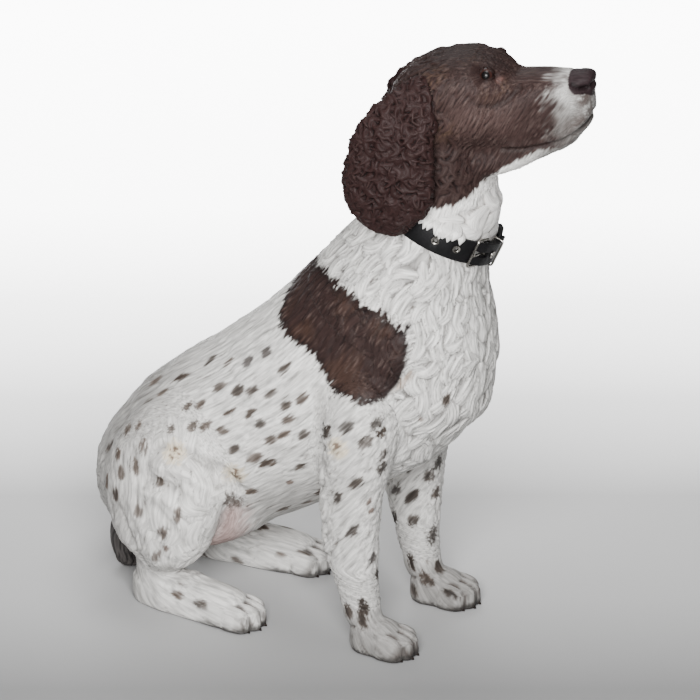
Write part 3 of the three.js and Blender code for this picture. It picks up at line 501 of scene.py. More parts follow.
flow = (trunk_flow * (1 - leg_share)[:, None] + foreleg_flow * is_foreleg[:, None]
        + thigh_flow * is_thigh[:, None])
strand = grain(flow / np.array([4.2, 4.2, 40]) + 6.6)
fine_strand = grain(flow / np.array([2.4, 2.4, 26]) + 1.7)
tip = grain(flow / np.array([1.6, 1.6, 15]) + 8.8)
for in_lock, lock_flow in (((chest_locks > 0) & (is_wavy > 0.5), chest_flow),
                           ((thigh_locks > 0) & (is_fluffy > 0.5), thigh_lock_flow),
                           ((feathers > 0) & (is_feathered > 0.4), feather_flow)):
    flow[in_lock] = lock_flow[in_lock]
streak = grain(flow / np.array([2.9, 2.9, 24]) + 3.9)
# Painted shade: grey in the creases and in streaks between the strands of hair.
paint = lay(WHITE_PAINT, SHADE_GREY,
            0.7 * ramp(crease, 0.05, 1.1) + 0.34 * ramp(streak + 0.5 * strand, 0.0, 0.75))
# Painted shade: grey in the broad hollows between the chest's waves.
paint = lay(paint, SHADE_GREY, 0.85 * is_wavy * ramp(broad_crease, -0.8, 1.8))
# Painted shade along the folds that the tool pressed in.
for lift, wide, path in BODY_STROKES:
    if lift < 0:
        paint = lay(paint, SHADE_GREY, 0.4 * stroke(both_flanks, path, wide, across=0.6))
# Painted shade: grey over the belly, forelegs and paws, towards the rump, and on faces that look upward.
RUMP_SHADE = (200, 310)
top_shade = ramp(coat.normals()[:, 2], 0.2, 0.8) * (1 - is_paw)
paint = lay(paint, SHADE_GREY, 0.5 * is_belly + 0.24 * is_foreleg + 0.55 * is_paw * (1 - 0.6 * is_hind_foot)
            + 0.5 * ramp(-coat.at[:, 0], *RUMP_SHADE) + 0.3 * top_shade)

pulled = coat.at - way * (5 * strand + 6 * fine_strand + 6 * tip)[:, None]
patch_depth = within(pulled[:, [0, 2]], PATCH)
is_patch = ramp(patch_depth, -2.5, 2.5)
# The patch: painted shade in its creases, warmer liver at random, painted highlights on the hair's crests,
# and darker liver along its edge.
liver = lay(LIVER, LIVER_DARK_AND_SHADE, 0.9 * ramp(crease, 0.1, 0.8))
liver = lay(liver, LIVER_WARM, 0.6 * ramp(grain(coat.at / 34 + 4.4) + 0.4 * fine_strand, -0.1, 0.6))
liver = lay(liver, LIVER_HIGHLIGHT, 0.5 * ramp(0.5 * relief + 0.6 * fine_strand + 0.6 * tip, 0.35, 1.0))
liver = lay(liver, LIVER_DARK_AND_SHADE, 0.75 * (1 - ramp(patch_depth, 0, 12)))

# Bare skin shows pink and grey in the groin. The clefts between the toes get painted shade, the toes'
# fronts dark paint, and the paws' lower edges dark paint with a painted contact shadow.
GROIN = [(-174, 66, 118), (-188, 52, 92), (-206, 48, 70)]
GROIN_HAIR = [[(-164, 74, 134), (-172, 82, 139)], [(-196, 46, 70), (-208, 46, 62)]]
TOE_DARK_AND_SHADE = tint(78, 71, 67)
PAW_EDGE_AND_SHADOW = tint(48, 45, 43)
groin = stroke(both_flanks, GROIN, wide=22) * (1 - ramp(both_flanks[:, 1], 74, 92))
paint = lay(paint, PINK_SKIN, 0.8 * groin * ramp(groin + 0.5 * strand + 0.4 * tip, 0.0, 0.6))
for hair in GROIN_HAIR:
    tuft = stroke(both_flanks, hair, wide=11) + 0.5 * strand + 0.6 * tip
    paint = lay(paint, FLECK_PAINT * 0.5, 0.85 * ramp(tuft, 0.3, 0.9))
# Painted shade in the clefts between the toes.
paint = lay(paint, TOE_DARK_AND_SHADE, 0.9 * cleft)
FORE_TOES, HIND_TOES = (12, 30), (-160, -140)
toe_front = np.maximum(ramp(both_flanks[:, 0], *FORE_TOES) * is_foreleg,
                       ramp(both_flanks[:, 0], *HIND_TOES) * is_hind_foot)
smudge = grain(coat.at / 8 + 5.2) + 0.5 * tip
paint = lay(paint, TOE_DARK_AND_SHADE, 0.95 * toe_front * ramp(smudge, -0.3, 0.3) * (1 - ramp(height, 12, 26)))
# The paws' lower edges: dark paint with a painted contact shadow.
paint = lay(paint, PAW_EDGE_AND_SHADOW, 0.9 * is_paw * (1 - ramp(coat.at[:, 2] + 3 * tip - 3 * toe_front, 2, 7)))


def dab(at, direction, long, wide, soft=0.9):
    """Cover of one brushed fleck, drawn out along the hair."""
    off = coat.at - at
    along = off @ direction
    across = (off * off).sum(axis=1) - along * along
    return ramp(1.2 - (along / long) ** 2 - across / wide ** 2 + 0.6 * fine_strand + 0.6 * tip, 0, soft)


# Flecks: the right side's by their places, the left side's scattered alike.
FLECKS_RIGHT = [
    (-275, -34, 228), (-234, -53, 247), (-254, -57, 228), (-271, -62, 215), (-204, -51, 271),
    (-180, -77, 257), (-216, -78, 228), (-200, -80, 234), (-162, -89, 238), (-126, -94, 235),
    (-138, -92, 243), (-227, -93, 207), (-206, -87, 212), (-191, -88, 217), (-170, -90, 217),
    (-158, -90, 198), (-134, -89, 194), (-122, -86, 189), (-278, -88, 194), (-265, -90, 201),
    (-284, -100, 171), (-314, -59, 157), (-258, -110, 167), (-276, -107, 156), (-253, -103, 187),
    (-296, -102, 139), (-281, -110, 131), (-100, -90, 297), (-77, -96, 273), (-97, -96, 261),
    (-98, -94, 228), (-115, -94, 270), (-177, -65, 279), (-156, -85, 262), (-138, -89, 265),
    (-94, -95, 245), (-78, -93, 231), (-51, -98, 242), (-127, -43, 121), (-101, -38, 131), (-144, -76, 150),
    (-229, -114, 158), (-208, -115, 126), (-227, -114, 103), (-253, -115, 121), (-237, -106, 71),
    (-221, -90, 24), (-193, -95, 23), (-116, -93, 218), (-88, -81, 190), (-79, -50, 152), (-3, -102, 242),
    (9, -92, 252), (10, -88, 226), (8, -86, 211), (-16, -99, 193), (-38, -95, 170), (-24, -92, 137),
    (-9, -65, 83), (-16, -82, 51), (-33, -82, 42), (-18, -83, 36), (-48, -99, 242), (-24, -105, 255),
    (6, -95, 261), (61, -50, 282), (-210, 66, 40), (-177, 53, 20), (-29, 49, 116), (-52, 57, 86),
    (-28, 50, 45), (-12, 51, 28), (-25, 50, 12), (-6, 63, 37), (-11, 61, 73), (-8, 64, 120), (-12, 55, 140),
    (-5, 63, 153)]
FLECKS_DARK = [(-150, -74, 291), (-126, -78, 305), (-9, -75, 104), (-47, 52, 119)]
FLECKS_BROWN = [(-103, -73, 167), (-8, -87, 170), (-7, -83, 159), (38, -62, 260), (-225, -109, 83)]
FLECKS_ON_CREAM = [(-158, -86, 170), (-218, -105, 189), (-34, -104, 230)]
TAN_HAIRS = [(17, -82, 299), (25, -77, 303), (30, -73, 310)]
TAN_HAIR = tint(150, 124, 102)
DARK_FLECK = tint(58, 50, 47)
BROWN_FLECK = tint(92, 70, 58)
CREAM = tint(226, 212, 186)
FLECK_APART = 22
FLECK_TRIES = 5000
chance = np.random.default_rng(11)
room = (1 - is_wavy) * (1 - 0.7 * is_paw) * (1 - is_patch) * (1 - 0.5 * leg_share) * (1 - 0.8 * is_belly)
coat_tree = KDTree(len(coat.at))
for index, at in enumerate(coat.at.tolist()):
    coat_tree.insert(at, index)
coat_tree.balance()


def nearest(places):
    """The coat's points nearest to places."""
    return [coat_tree.find(place)[1] for place in places]


fleck_spots = nearest(FLECKS_RIGHT)
for tried in chance.integers(0, len(coat.at), FLECK_TRIES):
    keep = chance.random()
    apart = FLECK_APART * (0.8 + 0.5 * chance.random())
    if coat.at[tried, 1] < 12 or keep > room[tried] or height[tried] < 8 or patch_depth[tried] > -9:
        continue
    if np.linalg.norm(coat.at[fleck_spots] - coat.at[tried], axis=1).min() < apart:
        continue
    fleck_spots.append(tried)
for spot in fleck_spots:
    long, wide = 9 + 4.5 * chance.random(), 4.3 + 2.0 * chance.random()
    long, wide = long * (1 + 0.1 * is_foreleg[spot]), wide * (1 + 0.3 * is_foreleg[spot])
    tone = FLECK_PAINT * (0.45 + 0.5 * chance.random()) * (1 - 0.5 * is_foreleg[spot])
    brushed = dab(coat.at[spot], way[spot], long, wide, soft=1.5)
    paint = lay(paint, tone, (0.8 + 0.2 * chance.random()) * ramp(brushed, 0.05, 0.6))
    paint = lay(paint, tone * 0.45, 0.7 * ramp(brushed, 0.55, 1.0))
for spot in nearest(FLECKS_DARK):
    paint = lay(paint, DARK_FLECK, 0.9 * dab(coat.at[spot], way[spot], long=10, wide=5.6))
for spot in nearest(FLECKS_BROWN):
    paint = lay(paint, BROWN_FLECK, 0.85 * dab(coat.at[spot], way[spot], long=5, wide=3.4))
for spot in nearest(FLECKS_ON_CREAM):
    paint = lay(paint, CREAM, 0.85 * dab(coat.at[spot], way[spot], long=15, wide=13, soft=1.0))
    brushed = dab(coat.at[spot], way[spot], long=8, wide=7) * ramp(strand + fine_strand, -0.3, 0.15)
    paint = lay(paint, BROWN_FLECK, 0.9 * brushed)
for spot in nearest(TAN_HAIRS):
    paint = lay(paint, TAN_HAIR, 0.6 * dab(coat.at[spot], way[spot], long=13, wide=4.5, soft=1.4))
paint = lay(paint, liver, is_patch)


def set_inputs(tree, node, values):
    """Sets inputs of a node, each to a value or to another node's output."""
    for into, value in values.items():
        if isinstance(value, bpy.types.NodeSocket):
            tree.links.new(value, node.inputs[into])
        else:
            node.inputs[into].default_value = value


def add_node(tree, kind, values=None, **settings):
    """A shader node with its settings and inputs; gives its outputs."""
    made = tree.nodes.new("ShaderNode" + kind)
    for name, setting in settings.items():
        setattr(made, name, setting)
    set_inputs(tree, made, values or {})
    return made.outputs


def new_group(name, inputs, outputs):
    """A node group with its sockets, each a name and a kind; also its entry's outputs and its exit."""
    group = bpy.data.node_groups.new(name, "ShaderNodeTree")
    for sockets, way_in in ((inputs, "INPUT"), (outputs, "OUTPUT")):
        for socket, kind in sockets.items():
            group.interface.new_socket(socket, in_out=way_in, socket_type="NodeSocket" + kind)
    return group, group.nodes.new("NodeGroupInput").outputs, group.nodes.new("NodeGroupOutput")


def new_finish(name):
    """A new material, with its node tree and its surface."""
    finish = bpy.data.materials.new(name)
    finish.use_nodes = True
    return finish, finish.node_tree, finish.node_tree.nodes["Principled BSDF"]


def carved_hair():
    """The tool marks between the strands along a piece's own hair flow: a height, and painted shade and
    highlight.
    """
    group, entry, leave = new_group("carved_hair", {"Flow": "Vector", "Width": "Float"},
                                    {"Height": "Float", "Shade": "Float"})
    drawn = add_node(group, "VectorMath", {0: entry["Flow"], 1: (1, 1, 0.1)}, operation="MULTIPLY")
    finer = add_node(group, "VectorMath", {0: drawn[0], "Scale": entry["Width"]}, operation="SCALE")
    strands = add_node(group, "TexNoise", {"Vector": finer[0], "Scale": 1, "Detail": 3, "Distortion": 0.4})
    shade = add_node(group, "MapRange", {"Value": strands["Fac"], "From Min": 0.3, "From Max": 0.68,
                                         "To Min": 0.6, "To Max": 1.12})
    set_inputs(group, leave, {"Height": strands["Fac"], "Shade": shade["Result"]})
    return group


CARVED_HAIR = carved_hair()


def painted_hair(name, strands_per_mm, cut_depth, dull, shine, gloss=0.18):
    """Painted resin: the brushed colours, with painted shade between fine strands and a painted highlight on
    them, under a satin varnish.
    """
    finish, tree, surface = new_finish(name)
    colours = add_node(tree, "Attribute", attribute_name="paint")
    hair = add_node(tree, "Attribute", attribute_name="flow")
    marks = add_node(tree, "Group", {"Flow": hair["Vector"], "Width": strands_per_mm}, node_tree=CARVED_HAIR)
    shaded = add_node(tree, "VectorMath", {0: colours["Color"], "Scale": marks["Shade"]}, operation="SCALE")
    bump = add_node(tree, "Bump", {"Height": marks["Height"], "Distance": cut_depth * MM, "Strength": 0.8})
    varnish = add_node(tree, "MapRange", {"Value": marks["Height"], "From Min": 0.25, "From Max": 0.75,
                                          "To Min": dull, "To Max": shine})
    set_inputs(tree, surface, {"Base Color": shaded[0], "Normal": bump["Normal"],
                               "Roughness": varnish["Result"], "Specular IOR Level": gloss})
    return finish


def paint_on(mesh, paint, flow):
    """Writes a mesh's brushed colours and its hair flow, point by point."""
    colours = np.hstack([paint, np.ones((len(paint), 1))]).astype(np.float32)
    mesh.attributes.new("paint", "FLOAT_COLOR", "POINT").data.foreach_set("color", colours.ravel())
    strands = np.array(flow, np.float32)
    mesh.attributes.new("flow", "FLOAT_VECTOR", "POINT").data.foreach_set("vector", strands.ravel())


def as_piece(name, mesh, finish, body="figure", replaced=None):
    """A finished mesh as a piece of the model: its object and body, and the node that it stands for."""
    mesh.materials.append(finish)
    piece = bpy.data.objects.new(name, mesh)
    bpy.context.scene.collection.objects.link(piece)
    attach(piece, body)
    if replaced:
        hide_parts(replaced)


def finished(skin, name, quads, paint, flow, finish, replaced):
    """A piece of some of a skin's quads, closed where it was parted, with its paint and hair flow."""
    used = np.unique(quads)
    index = np.zeros(len(skin.at), int)
    index[used] = np.arange(len(used))
    mesh = bpy.data.meshes.new(name)
    mesh.from_pydata(((skin.at[used] + PAW_LINE) * MM).tolist(), [], index[quads].tolist())
    parted = bmesh.new()
    parted.from_mesh(mesh)
    rim = [edge for edge in parted.edges if edge.is_boundary]
    if rim:
        caps = bmesh.ops.holes_fill(parted, edges=rim, sides=0)["faces"]
        bmesh.ops.triangulate(parted, faces=caps)
    for face in parted.faces:
        face.smooth = True
    parted.to_mesh(mesh)
    parted.free()
    paint_on(mesh, paint[used], flow[used])
    mesh.normals_split_custom_set_from_vertices(skin.normals()[used].tolist())
    as_piece(name, mesh, finish, replaced=replaced)


coat_finish = painted_hair("painted_coat", strands_per_mm=0.36, cut_depth=0.9, dull=0.62, shine=0.5)
casting_of_quad = casting_of[coat.quads[:, 0]]
for number, casting in enumerate(CASTINGS):
    finished(coat, "coat_" + casting, coat.quads[casting_of_quad == number], paint, flow, coat_finish,
             casting)

# The claws: small dark points of the same resin, cast with the toes, four to a paw, and painted like
# horn with a little gloss.
def modelled(rough, name):
    """A smooth mesh of shapes made in millimetres from the paw line, put into the frame."""
    bmesh.ops.translate(rough, verts=rough.verts, vec=PAW_LINE)
    bmesh.ops.scale(rough, verts=rough.verts, vec=(MM, MM, MM))
    for side in rough.faces:
        side.smooth = True
    mesh = bpy.data.meshes.new(name)
    rough.to_mesh(mesh)
    rough.free()
    return mesh


TOE_SHARES = (-0.72, -0.25, 0.25, 0.72)
TOE_ROUNDING = 16
CLAW_HALF, CLAW_THICK, CLAW_HIGH, CLAW_DROP = 4.4, 3.3, 6.2, 2.6
HORN = tint(42, 34, 31)
horn_finish = painted_hair("painted_horn", strands_per_mm=0.9, cut_depth=0.2, dull=0.5, shine=0.35)
for paw, hand, out, half, tip in (("front_right", -1, 69, 23, 34), ("front_left", 1, 69, 23, 34),
                                  ("hind_right", -1, 76, 24, -134), ("hind_left", 1, 76, 24, -134)):
    claws = bmesh.new()
    for share in TOE_SHARES:
        claw = bmesh.ops.create_uvsphere(claws, u_segments=12, v_segments=10, radius=1)["verts"]
        for vert in claw:
            ahead, aside, up = vert.co
            thick = CLAW_THICK * (1 - 0.25 * (1 + ahead))
            vert.co = (tip - TOE_ROUNDING * share ** 2 + CLAW_HALF * ahead,
                       hand * out + half * share + thick * aside,
                       CLAW_HIGH - CLAW_DROP * (1 + ahead) + thick * up)
    mesh = modelled(claws, "claws_" + paw)
    places = np.array([vert.co for vert in mesh.vertices]) / MM
    shade = 0.8 + 0.4 * grain(places / 3)
    paint_on(mesh, HORN * shade[:, None], places[:, [1, 2, 0]])
    as_piece("claws_" + paw, mesh, horn_finish)

# The head: one hollow resin casting with brows, lips, nose and throat modelled in it, painted liver
# with a white muzzle and throat. Its own frame has x towards the nose, y to the dog's left and z up.
HEAD_AT = np.array([48, 3, 600.0])
HEAD_TURNED = np.array(Matrix.Rotation(math.radians(13), 3, "Z") @ Matrix.Rotation(math.radians(-4), 3, "Y"))
FULL_HEAD_VOXEL = 1.2
HEAD_VOXEL = FULL_HEAD_VOXEL
HEAD_FINE = HEAD_VOXEL / FULL_HEAD_VOXEL
PLUG_UP = 48
EYE_AT = np.array([35.5, 25.5, 22.5])
EYE_RADIUS = 8
GAZE = np.array([0.05, 0.91, 0.34]) / np.linalg.norm([0.05, 0.91, 0.34])


def in_head(points):
    """Points in the head's own frame."""
    return (points - HEAD_AT) @ HEAD_TURNED


def from_head(points):
    return np.asarray(points) @ HEAD_TURNED.T + HEAD_AT


rough_head = bmesh.new()
add_copy(rough_head, "head_casting", grow=0)
for dowel in ("ear_dowel_right", "ear_dowel_left"):
    add_copy(rough_head, dowel, BOND_FILL)
bmesh.ops.create_cone(rough_head, cap_ends=True, segments=48, radius1=PLUG_RADIUS, radius2=PLUG_RADIUS,
                      depth=PLUG_UP, matrix=neck_plug @ Matrix.Translation((0, 0, PLUG_UP / 2)))
for hand in (-1, 1):
    bmesh.ops.create_icosphere(rough_head, subdivisions=3, radius=EYE_RADIUS + 0.4,
                               matrix=Matrix.Translation(from_head(EYE_AT * (1, hand, 1))))
head = Skin(rough_head, HEAD_VOXEL)
local = in_head(head.at)
NOSE_EDGE = [(113, 40), (114, 19), (117, 9), (123, 3), (132, 1), (137, -4), (139, -12), (160, -12), (160, 40)]
is_nose = ramp(within(local[:, [0, 2]], NOSE_EDGE), -1.5, 2.5)
head.ease(rounds=int(100 / HEAD_FINE ** 2), restore=int(220 / HEAD_FINE ** 2),
          share=0.62 * (1 - 0.6 * is_nose))

# Tool strokes in the face, on both sides alike: height, width, and the line that the tool follows.
FACE_STROKES = [
    (-3.2, 2.3, [(139, 0, -23), (133, 9, -28), (122, 18, -39), (106, 22, -49), (85, 27, -53), (66, 30, -56),
                 (48, 33, -55)]),
    (1.3, 4.5, [(130, 15, -22), (118, 23, -36), (102, 27, -46), (80, 30, -50), (62, 33, -52)]),
    (1.6, 3.5, [(56, 34, -51), (45, 36, -60)]),
    (-1.7, 2.4, [(47, 36, -50), (38, 37, -62)]),
    (-1.6, 2.0, [(114, 0, 26), (114, 10, 20), (117, 16, 9), (124, 16, 3), (133, 13, 0)]),
    (-5.0, 2.2, [(120, 15, 12), (127, 14, 8), (134, 12, 7)]),
    (-5.0, 2.8, [(140, 7, 9)]),
    (1.6, 3.5, [(136, 13, 15), (126, 14, 17)]),
    (-1.6, 1.5, [(143, 0, 6), (142, 0, -8), (138, 0, -24)]),
    (-1.6, 3.4, [(19, 39, 6), (30, 38, -4), (44, 35, -6), (58, 30, 0), (68, 24, 9)]),
    (1.2, 4.0, [(30, 37, 8), (44, 34, 6), (57, 27, 9)]),
    (0.6, 5.0, [(22, 32, 34), (38, 27, 31), (50, 19, 22)]),
    (-1.8, 6.0, [(68, 0, 12), (40, 0, 36), (8, 0, 46)]),
    (-2.0, 12.0, [(4, 48, 8), (-4, 52, -10)]),
    (2.6, 18.0, [(30, 43, -26)]),
    (1.6, 13.0, [(104, 28, -28)]),
    (-1.5, 6.0, [(84, 30, -12), (70, 34, -30), (56, 37, -44)]),
]
local = in_head(head.at)
both_sides = on_left(local)
worked = np.zeros(len(local))
for lift, wide, path in FACE_STROKES:
    worked += lift * stroke(both_sides, path, wide, across=1.0 if path[-1][1] == 0 else 0.4)
head.at = head.at + head.normals() * worked[:, None]

# The lids: a three-cornered opening over each glass eye, with a rounded rim.
LID_LONG, LID_HIGH, LID_LOW = 0.98, 1.0, 0.46
LID_TILT = math.radians(-8)
LID_THICK, SOCKET_DEEP = 0.7, 1.8
LID_REACH = 17
BROW_FOLD_AT, BROW_FOLD_WIDE = 1.75, 0.35
toward_nose = np.array([1, 0, 0]) - GAZE * GAZE[0]
toward_nose /= np.linalg.norm(toward_nose)
toward_brow = np.cross(toward_nose, GAZE)
local = in_head(head.at)
hands = np.where(local[:, 1] < 0, -1.0, 1.0)
off_eye = on_left(local) - EYE_AT
away = np.linalg.norm(off_eye, axis=1)
facing = off_eye / np.maximum(away, 1e-6)[:, None]
nearer_nose, nearer_brow = facing @ toward_nose, facing @ toward_brow
slant_nose = nearer_nose * math.cos(LID_TILT) - nearer_brow * math.sin(LID_TILT)
slant_brow = nearer_brow * math.cos(LID_TILT) + nearer_nose * math.sin(LID_TILT)
opening = np.where(slant_brow > 0, np.abs(slant_nose) / LID_LONG + slant_brow / LID_HIGH,
                   np.hypot(slant_nose / LID_LONG, slant_brow / LID_LOW))
opening = np.where((facing @ GAZE > 0.05) & (away < LID_REACH), opening, 9)
lid_rim = EYE_RADIUS + LID_THICK + 0.4 * ramp(slant_brow, 0, 0.4)
lid = lid_rim + (EYE_RADIUS - SOCKET_DEEP - lid_rim) * (1 - ramp(opening, 0.9, 1.1))
hold = 1 - ramp(opening, 1.15, 2.0)
brow_fold = np.exp(-3 * ((opening - BROW_FOLD_AT) / BROW_FOLD_WIDE) ** 2) * (slant_brow > 0)
wanted = away * (1 - hold) + lid * hold - 0.9 * brow_fold
off_eye *= (wanted / np.maximum(away, 1e-6))[:, None]
is_lid = hold * ramp(opening, 0.9, 1.0)
is_socket = 1 - ramp(opening, 0.85, 1.02)
eased = EYE_AT + off_eye
eased[:, 1] *= hands
head.at = np.where((opening < 2.6)[:, None], from_head(eased), head.at)

# Hair on the head runs back from the nose, over the crown and down the cheeks; behind the skull it
# curls, and under the jaw it hangs in white locks over the collar.
HEAD_FLOW = [(142, 0, 4), (110, 0, 2), (74, 0, 0), (42, 0, -4), (8, 0, -18), (-22, 0, -50), (-40, 0, -95),
             (-44, 0, -140)]
CHEEK_FLOW = [(150, 30, 60), (96, 30, 14), (62, 36, -34), (34, 42, -84), (8, 44, -140)]
JAW_EDGE = [(200, -47), (106, -55), (82, -58), (46, -76), (23, -94), (7, -107), (-24, -112), (-60, -104),
            (-120, -96), (-120, -400), (200, -400)]
local = in_head(head.at)
both_sides = on_left(local)
head_flow, head_way = flow_along(HEAD_FLOW, both_sides, reach=26)
cheek_flow, cheek_way = flow_along(CHEEK_FLOW, both_sides, reach=40)
sideward = np.abs(in_head(head.normals() + HEAD_AT)[:, 1])
on_cheek = head.spread(ramp(sideward, 0.45, 0.8) * (1 - ramp(local[:, 0], 108, 128)), rounds=12)
head_way = head_way * (1 - on_cheek)[:, None] + cheek_way * on_cheek[:, None]
head_way[:, 1] *= np.where(local[:, 1] < 0, -1, 1)
head_way = head_way @ HEAD_TURNED.T
head_flow = np.where((on_cheek > 0.5)[:, None], cheek_flow + 300, head_flow)
head_strand = grain(head_flow / np.array([2.5, 2.5, 22]) + 2.2)
head_fine = grain(head_flow / np.array([1.7, 1.7, 13]) + 7.9)
jagged = local[:, [0, 2]] + np.stack([5 * head_fine, 4 * head_strand + 3 * head_fine], 1)
under_jaw = ramp(within(jagged, JAW_EDGE), -2, 2)
is_throat = ramp(within(local[:, [0, 2]], JAW_EDGE), 4, 16)
is_throat = is_throat * (1 - ramp(local[:, 2] - 0.25 * local[:, 0], -90, -70))
is_curly = 1 - ramp(local[:, 0] + 0.25 * local[:, 2], -18, 4)
is_curly = is_curly * (1 - is_throat) * ramp(local[:, 2], -110, -90)
is_bare = np.clip(is_nose + is_socket + is_lid, 0, 1)

neck_way = flow_along(TRUNK_FLOW, head.at, reach=45)[1]
throat_roots = scattered(head.at, ramp(is_throat, 0.1, 0.6), apart=13, tries=6000, seed=25)
throat_locks, throat_flow = locks(head, neck_way, throat_roots, long=44, wide=13, curl=0.7, scatter=0.6,
                                  seed=27)
curl_roots = scattered(head.at, ramp(is_curly, 0.1, 0.6), apart=5, tries=6000, seed=35)
curl_locks, curl_flow = locks(head, head_way, curl_roots, long=22, wide=5.0, curl=1.5, scatter=0.9, seed=37,
                              blunt=0.8)
short_hair = brushed_hair(head_flow, dict(lock=4.2, long=22, wave=1.0, sway=30, seed=4.1),
                          dict(lock=2.4, long=14, seed=9.4), share=0.4)
head_relief = short_hair * (1 - is_throat - is_curly) + throat_locks * is_throat + curl_locks * is_curly
at_muzzle = ramp(local[:, 0], 55, 100)
SHORT_DEEP, THROAT_DEEP, CURLS_DEEP = 1.1, 5.6, 2.6
head_depth = (SHORT_DEEP - 0.6 * at_muzzle + THROAT_DEEP * is_throat + CURLS_DEEP * is_curly) * (1 - is_bare)
pebbled = 0.3 * np.abs(grain(local / 2.3)) * is_nose
head.at = head.at + head.normals() * (head_depth * (head_relief - HAIR_LEVEL) - pebbled)[:, None]

# The face's paint: liver with painted shade over the crown, in the creases and under the eyes, and painted
# highlights on the hair's crests; tan dabbed round the brows and ears, brown ticking on the white muzzle,
# grey painted shade on the muzzle growing towards the mouth, a near black painted shadow along the mouth,
# and near black nose and lids.
NOSE_PAINT = tint(42, 32, 34)
LID_PAINT = tint(34, 22, 20)
TICKING = tint(70, 59, 56)
THROAT_SHADE = tint(150, 136, 130)
TAN = tint(92, 72, 58)
CHEEK_PAINT = tint(66, 51, 48)
CHEEK = [(14, 46, -14), (46, 40, -18)]
MUZZLE_BLEND = (90, 120)
MOUTH_LINE = FACE_STROKES[0][2]
UNDER_EYE = FACE_STROKES[9][2]
TAN_DABS = [((-16, 42, 32), 14, 0.5), ((18, 22, 43), 11, 0.3), ((52, 29, 10), 9, 0.3),
            ((-7, 50, -30), 12, 0.4), ((36, 40, 4), 9, 0.2), ((-20, 44, 8), 12, 0.35)]
TICKING_DABS = [((100, 24, 16), 8, 0.95), ((112, 15, 21), 7, 0.9), ((128, 18, -5), 8, 0.75),
                ((134, 14, 0), 8, 0.7), ((126, 18, -25), 9, 0.7), ((117, 20, -30), 12, 0.5),
                ((121, 19, 5), 6, 0.7), ((136, 13, -13), 9, 0.6), ((110, 25, -12), 5, 0.4),
                ((99, 27, -22), 8, 0.7)]
INNER_CORNER = [(47, 28, 18), (52, 26, 20), (57, 23, 22)]
CORNER_PINK = tint(118, 86, 80)
head_crease = head.spread(head_depth * head_relief, rounds=8) - head_depth * head_relief
face = lay(LIVER, CHEEK_PAINT, stroke(both_sides, CHEEK, wide=24))
# Painted shade in the creases, and painted highlights on the hair's crests.
face = lay(face, LIVER_DARK_AND_SHADE, 0.8 * ramp(head_crease, 0.02, 0.4))
face = lay(face, LIVER_HIGHLIGHT, 0.3 * ramp(head_relief + 0.6 * head_strand, 0.3, 1.15) * (1 - 0.6 * is_curly))
for spot, size, cover in TAN_DABS:
    brushed = stroke(both_sides, [spot], size) * ramp(head_strand + head_fine, -0.35, 0.4)
    face = lay(face, TAN, cover * brushed)
broad_fold = head.spread(head_depth * head_relief, rounds=30) - head_depth * head_relief
# Painted shade over the crown.
face = lay(face, LIVER_DARK_AND_SHADE, 0.45 * ramp(local[:, 2], 12, 44))
white = lay(WHITE_PAINT, THROAT_SHADE, 0.75 * is_throat * ramp(broad_fold, -0.5, 2.2))
# Painted shade: grey in the creases, and over the muzzle, more towards the mouth.
white = lay(white, SHADE_GREY, 0.8 * ramp(head_crease, 0.1, 0.9) + 0.1 * head_fine
            + at_muzzle * (0.5 + 0.4 * (1 - ramp(local[:, 2], -30, 12))))
muzzle_edge = local[:, 0] + 7 * head_strand + 9 * head_fine + 10 * grain(local / 11 + 3.1)
is_white = np.maximum(ramp(muzzle_edge, *MUZZLE_BLEND), under_jaw)
speckle = ramp(0.5 * head_fine + 0.3 * head_strand + grain(local / 7 + 1.3), -0.7, 0.1)
for spot, size, cover in TICKING_DABS:
    white = lay(white, TICKING, 1.3 * cover * stroke(both_sides, [spot], size) * speckle)
face = lay(face, white, is_white)
face = lay(face, NOSE_PAINT, ramp(is_nose, 0.35, 0.7))
for nostril, wide in ((FACE_STROKES[5][2], 2.0), (FACE_STROKES[6][2], 2.6)):
    face = lay(face, LIVER_DARK_AND_SHADE * 0.6, 0.95 * stroke(both_sides, nostril, wide, across=0.4))
lip = stroke(both_sides, MOUTH_LINE, wide=9, across=0.4) * ramp(head_fine + head_strand, -0.5, 0.4)
face = lay(face, TICKING, 0.45 * lip)
# A painted shadow along the mouth line, and painted shade in the crease under each eye.
face = lay(face, LIVER_DARK_AND_SHADE, 0.85 * stroke(both_sides, MOUTH_LINE, wide=2.4, across=0.4))
face = lay(face, LIVER_DARK_AND_SHADE, 0.5 * stroke(both_sides, UNDER_EYE, wide=3.2, across=0.4))
face = lay(face, LID_PAINT, np.clip(1.2 * is_lid * (1 - ramp(opening, 1.3, 1.6)), 0, 1))
face = lay(face, CORNER_PINK, 0.5 * stroke(both_sides, INNER_CORNER, wide=2.2))
head_hair = head_flow.copy()
for mask, lock_flow, lock in ((is_throat, throat_flow, throat_locks), (is_curly, curl_flow, curl_locks)):
    chosen = (mask > 0.5) & (lock > 0)
    head_hair[chosen] = lock_flow[chosen]
head_finish = painted_hair("painted_face", strands_per_mm=1.0, cut_depth=0.3, dull=0.62, shine=0.5, gloss=0.1)
finished(head, "painted_head", head.quads, face, head_hair, head_finish, "head_casting")

